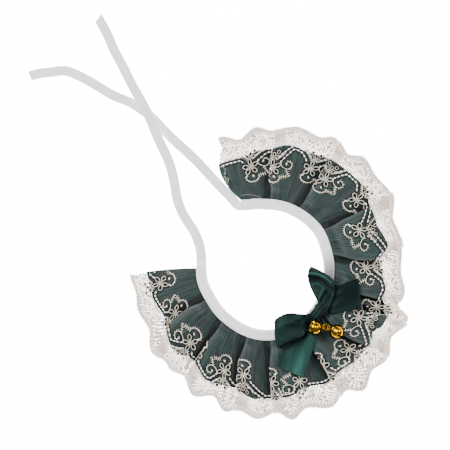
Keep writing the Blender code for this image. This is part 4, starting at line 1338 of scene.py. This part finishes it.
bowForm = {
    "wall": 0.4,
    "columns": 27,
    "rowsPerStep": 8,
    "knotAt": (38.5, -30.3, 8.8),
    "knotSize": (14.0, 10.0, 9.6),
    "knotHeading": 45.0,
    "knotMesh": (44, 88),   # rings along the knot, points round it
    "knotCorner": 3.4,      # 2 would be an ellipse
    "knotFolds": 11.0,
    "knotCrease": 0.2,
    "dent": 0.8,            # how deep the creases are
    "gathered": 2.6,        # rows from the knot that are drawn together
    "pleatCount": 3.0,
    # painted light: gleams lighter, pleat crests lighter and their hollows darker
    "paintedGleamTone": 0.55,
    "paintedPleatLight": 0.3,
}
ribbons = {
    # rows: the ribbon's two edges with their heights, from the knot outwards
    # creases, dented and painted darker as shade, and painted gleams: from (along, across) to
    # (along, across), strength, width; along in rows
    "bowLoopLeft": {
        "node": "bow_loop_left",
        "closed": True,
        "puff": 1.0,
        "tone": 0.37,
        "pleats": 0.3,
        "rows": (
            (34.1, -29.1, 10.8, 38.0, -34.0, 9.6),
            (30.8, -32.0, 11.2, 35.1, -36.2, 9.9),
            (27.9, -32.4, 12.8, 29.8, -40.3, 10.4),
            (25.9, -32.2, 14.4, 29.1, -45.5, 12.4),
            (22.6, -31.9, 16.0, 26.0, -49.2, 15.2),
            (17.1, -31.2, 17.2, 18.4, -52.2, 16.8),
            (10.9, -32.4, 17.2, 11.7, -55.2, 16.8),
            (5.8, -35.3, 16.0, 7.1, -57.9, 15.8),
            (3.9, -37.7, 14.4, 5.6, -59.0, 14.4),
            (6.3, -37.0, 12.8, 7.4, -59.6, 13.0),
            (12.2, -34.6, 12.2, 14.6, -58.8, 12.8),
            (21.8, -33.9, 11.4, 24.4, -52.3, 11.8),
            (26.6, -33.1, 10.4, 28.8, -42.9, 8.9),
            (30.9, -32.1, 9.4, 35.1, -36.3, 8.2),
        ),
        "creases": (
            (1.2, 0.10, 2.6, 0.22, 0.9, 0.26), (2.6, 0.22, 4.4, 0.36, 0.85, 0.34),
            (4.3, 0.5, 5.4, 0.4, 0.5, 0.45), (1.3, 0.42, 2.6, 0.50, 0.9, 0.22),
            (2.6, 0.50, 3.5, 0.62, 0.75, 0.32), (1.4, 0.75, 2.6, 0.70, 0.7, 0.3),
            (3.6, 0.95, 5.6, 0.98, 0.4, 0.3),
            (2.0, 0.02, 5.0, 0.01, 0.4, 0.25), (8.6, 0.2, 8.8, 1.0, 0.4, 1.0),
            (10.7, 0.3, 11.0, 1.0, 0.8, 1.2), (6.6, 0.97, 3.4, 0.97, 0.3, 0.3),
        ),
        "paintedGleams": (
            (5.2, 0.3, 6.6, 0.3, 0.4, 0.5), (3.4, 0.9, 5.6, 0.7, 0.2, 0.7),
            (3.2, 0.30, 4.6, 0.20, 0.30, 0.25), (7.0, 0.3, 7.3, 0.9, 0.2, 0.25),
            (5.8, 0.8, 6.8, 0.8, 0.2, 0.6),
        ),
    },
    "bowLoopRight": {
        "node": "bow_loop_right",
        "closed": True,
        "puff": 0.8,
        "tone": 0.40,
        "pleats": 0.25,
        "rows": (
            (34.9, -26.2, 11.0, 44.5, -32.5, 10.4),
            (38.1, -22.9, 12.4, 46.8, -27.7, 11.2),
            (36.2, -19.1, 14.4, 49.3, -21.3, 12.8),
            (33.7, -14.4, 16.6, 51.0, -15.1, 14.2),
            (31.4, -9.0, 18.4, 51.2, -10.9, 15.2),
            (30.1, -3.5, 19.4, 50.8, -7.9, 15.8),
            (30.2, 0.9, 19.0, 50.6, -6.0, 15.6),
            (31.3, 4.2, 17.8, 49.2, -3.6, 14.8),
            (33.1, 5.5, 15.4, 48.1, -3.1, 13.2),
            (34.4, 0.9, 13.0, 47.6, -5.5, 12.2),
            (36.5, -9.3, 11.4, 48.0, -13.2, 11.2),
            (38.7, -19.0, 10.2, 48.1, -22.2, 10.2),
            (40.1, -22.8, 9.4, 46.1, -28.9, 9.2),
        ),
        "creases": (
            (5.3, 0.02, 5.4, 0.38, 1.0, 0.48), (5.4, 0.38, 5.0, 0.60, 1.0, 0.48),
            (5.0, 0.60, 4.1, 0.80, 1.0, 0.42), (4.1, 0.80, 3.5, 0.99, 0.9, 0.38),
            (3.3, 0.66, 1.75, 0.31, 1.0, 0.26), (7.3, 0.2, 7.5, 0.8, 0.45, 0.25),
            (1.6, 0.60, 2.6, 0.80, 0.5, 0.25), (9.2, 0.2, 9.5, 1.0, 0.6, 1.4),
        ),
        "paintedGleams": (
            (5.9, 0.03, 6.3, 0.36, 0.9, 0.26), (6.3, 0.36, 6.1, 0.67, 0.9, 0.24),
            (6.1, 0.67, 5.1, 0.88, 0.7, 0.20), (4.1, 0.05, 4.4, 0.36, 0.5, 0.2),
            (4.4, 0.36, 3.8, 0.54, 0.5, 0.2), (3.7, 0.55, 2.1, 0.24, 0.7, 0.16),
            (3.5, 0.98, 1.5, 0.95, 0.55, 0.12), (2.4, 0.55, 1.7, 0.50, 0.3, 0.15),
        ),
    },
    "bowTailRight": {
        "node": "bow_tail_right",
        "closed": False,
        "puff": 0.2,
        "tone": 0.27,
        "pleats": 0.05,
        "rows": (
            (41.9, -23.3, 7.4, 47.2, -30.7, 7.6), (50.1, -12.9, 9.0, 51.0, -32.1, 10.2),
            (60.3, -7.3, 10.8, 61.9, -30.1, 11.4), (70.9, -3.7, 10.6, 72.9, -28.3, 11.2),
        ),
        "creases": ((0.0, 0.25, 1.5, 0.15, 0.3, 0.3), (0.4, 0.5, 2.0, 0.4, 0.25, 0.5)),
        "paintedGleams": ((1.6, 0.92, 3.0, 0.80, 0.22, 0.4), (0.4, 0.97, 1.2, 0.93, 0.2, 0.15)),
    },
    "bowTailLeft": {
        "node": "bow_tail_left",
        "closed": False,
        "puff": 0.4,
        "tone": 0.66,
        "pleats": 0.12,
        "rows": (
            (33.0, -36.4, 6.4, 40.4, -38.9, 6.8), (27.7, -40.7, 7.0, 38.9, -43.2, 7.0),
            (20.3, -47.0, 7.8, 37.5, -49.4, 10.0), (11.3, -59.5, 10.7, 33.3, -64.3, 11.0),
            (5.6, -73.7, 10.6, 27.0, -83.1, 8.6),
        ),
        "creases": ((0.0, 0.6, 2.0, 0.5, 0.8, 0.9), (2.4, 0.05, 4.0, 0.10, 0.25, 0.5),
                    (2.0, 0.97, 4.0, 0.97, 0.12, 0.25)),
        "paintedGleams": ((3.0, 0.66, 4.0, 0.72, 0.36, 0.8),),
    },
}


def strokesAt(strokes, along, across):    # how strongly the strokes show at a place of the ribbon
    total = np.zeros_like(along)
    scale = 4.0    # the ribbon is about four rows wide
    for fromAlong, fromAcross, toAlong, toAcross, strength, width in strokes:
        run = np.array((toAlong - fromAlong, (toAcross - fromAcross) * scale))
        offset = np.stack([along - fromAlong, (across - fromAcross) * scale], axis=-1)
        share = np.clip(offset @ run / (run @ run), 0.0, 1.0)
        gap = np.linalg.norm(offset - share[..., None] * run, axis=-1)
        total = np.maximum(total, strength * np.exp(-((gap / width) ** 2)))
    return total


def addRibbon(name, ribbon):
    form = bowForm
    knots = np.array(ribbon["rows"])
    count = (len(knots) - 1) * form["rowsPerStep"]
    padded = np.vstack([2 * knots[0] - knots[1], knots, 2 * knots[-1] - knots[-2]])
    edges = []
    for index in range(count + 1):
        place = min(index / form["rowsPerStep"], len(knots) - 1.0001)
        step = int(place)
        edges.append(splinePoint(*padded[step:step + 4], place - step))
    edges = np.array(edges)
    across = np.linspace(0.0, 1.0, form["columns"])
    grid = mix(edges[:, None, :3], edges[:, None, 3:], across[None, :, None])
    along = np.broadcast_to(np.linspace(0.0, len(knots) - 1, count + 1)[:, None], grid.shape[:2])
    across = np.broadcast_to(across[None], grid.shape[:2])
    normals = unit(np.cross(np.gradient(grid, axis=0), np.gradient(grid, axis=1)))
    if normals[len(normals) // 3, form["columns"] // 2, 2] < 0:
        normals = -normals
    creases = strokesAt(ribbon["creases"], along, across)
    paintedGleams = strokesAt(ribbon["paintedGleams"], along, across)
    fromKnot = np.minimum(along, len(knots) - 1 - along) if ribbon["closed"] else along
    nearKnot = 1.0 - smoothStep(fromKnot / form["gathered"])
    pleats = ribbon["pleats"] * nearKnot * np.cos(2 * math.pi * form["pleatCount"] * across)
    puff = ribbon["puff"] * np.sin(math.pi * across) * (1.0 - nearKnot)
    grid = grid + normals * (puff + pleats - form["dent"] * np.minimum(creases, 1.2))[..., None]
    # painted light and shade: each ribbon's tone for how it catches the light, shade in creases,
    # gleams and pleats
    tint = ribbon["tone"] * (1.0 - creases) + form["paintedGleamTone"] * paintedGleams
    tint = np.clip(tint + form["paintedPleatLight"] * pleats, 0.0, 1.0)
    lengths = np.cumsum(np.linalg.norm(np.gradient(grid, axis=0), axis=-1), axis=0)
    marks = np.stack([lengths, across * 22.0, tint], axis=-1)
    pile = newPile()
    addSheet(pile, grid, marks)
    thing = makePiece(name, pile, greenSatin, wall=form["wall"])
    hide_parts(ribbon["node"])


def addKnot():    # ribbon wrapped round the middle, creased along the wrap
    form = bowForm
    along, across, tall = form["knotSize"]
    heading = math.radians(form["knotHeading"])
    ahead = np.array((math.cos(heading), math.sin(heading), 0.0))
    side = np.array((-math.sin(heading), math.cos(heading), 0.0))
    centre = np.array(form["knotAt"])
    rings, sides = form["knotMesh"]
    power = form["knotCorner"]
    pile = newPile()
    grid = []
    marks = []
    for ring in range(rings):
        t = ring / (rings - 1) * 2.0 - 1.0
        reach = along / 2 * math.sin(math.pi / 2 * t)
        shrink = 1.0 - abs(t) ** 6.0 * 0.45
        line = []
        markLine = []
        for step in range(sides):
            turn = 2 * math.pi * step / sides
            drift = 0.16 * reach + 0.7 * math.sin(0.45 * reach)    # the folds wander a little
            fold = math.sin(form["knotFolds"] * turn + drift)
            crease = form["knotCrease"] * fold * (1.0 - 0.4 * abs(t) ** 4)
            corner = (abs(math.cos(turn)) ** power + abs(math.sin(turn)) ** power) ** (-1 / power)
            wide = (across / 2 - 0.4 + crease) * corner * shrink
            high = (tall / 2 - 0.4 + crease) * corner * shrink
            line.append(centre + ahead * reach + side * wide * math.cos(turn)
                        + np.array((0.0, 0.0, high * math.sin(turn))))
            # painted light on the knot: lighter on a fold's crest, darker in its hollow
            markLine.append((step * 0.6, reach, 0.33 + 0.10 * fold))
        grid.append(line)
        marks.append(markLine)
    start = addPoints(pile, grid, np.array(marks))
    for ring in range(rings - 1):
        for step in range(sides):
            here = start + ring * sides + step
            beside = start + ring * sides + (step + 1) % sides
            pile["faces"].append((here, beside, beside + sides, here + sides))
    pile["faces"].append(tuple(reversed(range(start, start + sides))))
    pile["faces"].append(tuple(range(start + (rings - 1) * sides, start + rings * sides)))
    knot = makePiece("bowKnot", pile, greenSatin)
    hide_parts("bow_knot")


addKnot()
for ribbonName, ribbon in ribbons.items():
    addRibbon(ribbonName, ribbon)
print("bow made")


# the bells on their ring

bellForm = {
    "radius": 5.8,
    "wall": 0.5,
    "rim": 0.35,           # height and width of the pressed rim
    "rimWidth": 0.35,
    "slot": 1.6,
    "slotReach": 70.0,     # degrees from the bell's far end
    "slotEnd": 1.1,        # round ends of the cross slot
    "slotDepth": 4.0,
    "height": 14.4,
    "shankReach": 7.0,
    "shankRadius": 1.3,
    "shankWire": 0.45,
    "ring": (44.8, -42.3),
    "ringRadius": 2.2,
    "ringWire": 0.45,
    # side, body, turn about the ring, roll about the shank
    "bells": (("Left", "bell_left", 184.4, 40.0), ("Right", "bell_right", 334.9, 62.0)),
}


def primitive(call, **values):
    call(**values)
    return bpy.context.object


def cutWith(thing, tools):
    for tool in tools:
        modifier = thing.modifiers.new("cut", "BOOLEAN")
        modifier.operation = "DIFFERENCE"
        modifier.object = tool
        modifier.solver = "EXACT"
        bpy.context.view_layer.update()
        graph = bpy.context.evaluated_depsgraph_get()
        mesh = bpy.data.meshes.new_from_object(thing.evaluated_get(graph))
        thing.modifiers.clear()
        thing.data = mesh
        bpy.data.objects.remove(tool, do_unlink=True)


def addBell(side, node, turn, roll):
    form = bellForm
    away = form["ringRadius"] + form["shankReach"]
    angle = math.radians(turn)
    out = Vector((math.cos(angle), math.sin(angle), 0.0))
    centre = Vector((*form["ring"], form["height"])) + out * away
    place = Matrix.Translation(centre * mm) @ (-out).to_track_quat("Z", "Y").to_matrix().to_4x4()
    rolled = Matrix.Rotation(math.radians(roll), 4, "Z")

    ball = bpy.ops.mesh.primitive_uv_sphere_add
    shell = primitive(ball, segments=64, ring_count=32, radius=form["radius"] * mm)
    for vertex in shell.data.vertices:    # the pressed rim round its middle
        flat = abs(vertex.co.z) / mm
        swell = math.exp(-(flat / form["rimWidth"]) ** 2)
        vertex.co *= 1.0 + form["rim"] / form["radius"] * swell
    hollow = (form["radius"] - form["wall"]) * mm
    tools = [primitive(ball, segments=48, ring_count=24, radius=hollow)]
    for quarter in range(2):
        bar = primitive(bpy.ops.mesh.primitive_cube_add, size=mm)
        reach = math.radians(form["slotReach"])
        long = 2 * form["radius"] * math.sin(reach)
        deep = 2 * form["radius"] * (1.0 - math.cos(reach))
        bar.data.transform(Matrix.Diagonal((long, form["slot"], deep, 1.0)))
        drop = Matrix.Translation((0, 0, -form["radius"] * mm))
        bar.matrix_world = Matrix.Rotation(quarter * math.pi / 2, 4, "Z") @ rolled @ drop
        tools.append(bar)
    for quarter in range(4):
        end = primitive(bpy.ops.mesh.primitive_cylinder_add, vertices=24,
                        radius=form["slotEnd"] * mm, depth=form["slotDepth"] * mm)
        lean = Matrix.Rotation(-math.radians(form["slotReach"]), 4, "Y")
        tilt = Matrix.Rotation(quarter * math.pi / 2, 4, "Z") @ rolled @ lean
        end.matrix_world = tilt @ Matrix.Translation((0, 0, -form["radius"] * mm))
        tools.append(end)
    bpy.context.view_layer.update()
    cutWith(shell, tools)
    # marks the inside of the shell for its painted shade
    marks = shell.data.attributes.new("clothMark", "FLOAT_VECTOR", "POINT")
    for vertex, mark in zip(shell.data.vertices, marks.data):
        inside = vertex.co.length < (form["radius"] - 0.2) * mm
        mark.vector = (0.0, 0.0, 1.0 if inside else 0.0)
    shell.data.transform(place)
    shell.data.materials.clear()
    shell.data.materials.append(goldPlate)
    shell.data.shade_smooth()
    shell.data.set_sharp_from_angle(angle=math.radians(38))
    shell.name = "bellShell" + side
    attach(shell, node)
    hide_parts(node)

    shank = primitive(bpy.ops.mesh.primitive_torus_add, major_radius=form["shankRadius"] * mm,
                      minor_radius=form["shankWire"] * mm, major_segments=32, minor_segments=12)
    upright = Matrix.Rotation(math.pi / 2, 4, "X")
    lifted = Matrix.Translation((0, 0, form["shankReach"] * mm))
    shank.data.transform(place @ lifted @ upright)
    shank.data.materials.append(goldPlate)
    shank.data.shade_smooth()
    shank.name = "bellShank" + side
    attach(shank, node)


def addRing():
    form = bellForm
    ring = primitive(bpy.ops.mesh.primitive_torus_add, major_radius=form["ringRadius"] * mm,
                     minor_radius=form["ringWire"] * mm, major_segments=40, minor_segments=12)
    ring.data.transform(Matrix.Translation(Vector((*form["ring"], form["height"])) * mm))
    ring.data.materials.append(goldPlate)
    ring.data.shade_smooth()
    ring.name = "bellRing"
    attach(ring, "collar")
    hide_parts("bell_ring")


for bell in bellForm["bells"]:
    addBell(*bell)
addRing()
for node in ("bell_left_ball", "bell_right_ball"):
    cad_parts[node].data.materials.clear()
    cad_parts[node].data.materials.append(steel)
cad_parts["bell_thread"].data.materials.clear()
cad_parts["bell_thread"].data.materials.append(darkThread)
print("bells made")


# floor and light

studio = {
    "floorSize": 6.0,      # metres
    "floorDrop": 0.0002,   # metres, under the table's level
    "floorColour": (0.93, 0.93, 0.93),
    "floorGlow": 16.0,     # lit from behind, as in a catalogue photo
    "sky": 0.4,
    "lamps": (    # place, size, power, all in metres and watts
        ((-0.9, 0.8, 1.5), 1.0, 54.0),
        ((1.3, 0.4, 1.2), 0.7, 19.0),
        ((0.1, -1.3, 1.2), 0.7, 18.0),
    ),
}


def addStudio():
    floor = primitive(bpy.ops.mesh.primitive_plane_add, size=studio["floorSize"],
                      location=(0, 0, -studio["floorDrop"]))
    floor.name = "floor"
    material, shader = newMaterial("paleFloor", studio["floorColour"], 0.9)
    shader.inputs["Emission Color"].default_value = (1.0, 1.0, 1.0, 1.0)
    shader.inputs["Emission Strength"].default_value = studio["floorGlow"]
    floor.data.materials.append(material)
    for number, (place, size, power) in enumerate(studio["lamps"]):
        data = bpy.data.lights.new("lamp" + str(number), "AREA")
        data.size = size
        data.energy = power
        lamp = bpy.data.objects.new(data.name, data)
        lamp.location = place
        aim = Vector((0.0, 0.0, 0.0)) - Vector(place)
        lamp.rotation_euler = aim.to_track_quat("-Z", "Y").to_euler()
        scene.collection.objects.link(lamp)
    world = bpy.data.worlds.new("sky")
    world.use_nodes = True
    background = world.node_tree.nodes["Background"]
    background.inputs["Color"].default_value = (1.0, 1.0, 1.0, 1.0)
    background.inputs["Strength"].default_value = studio["sky"]
    scene.world = world


addStudio()
print("scene made")
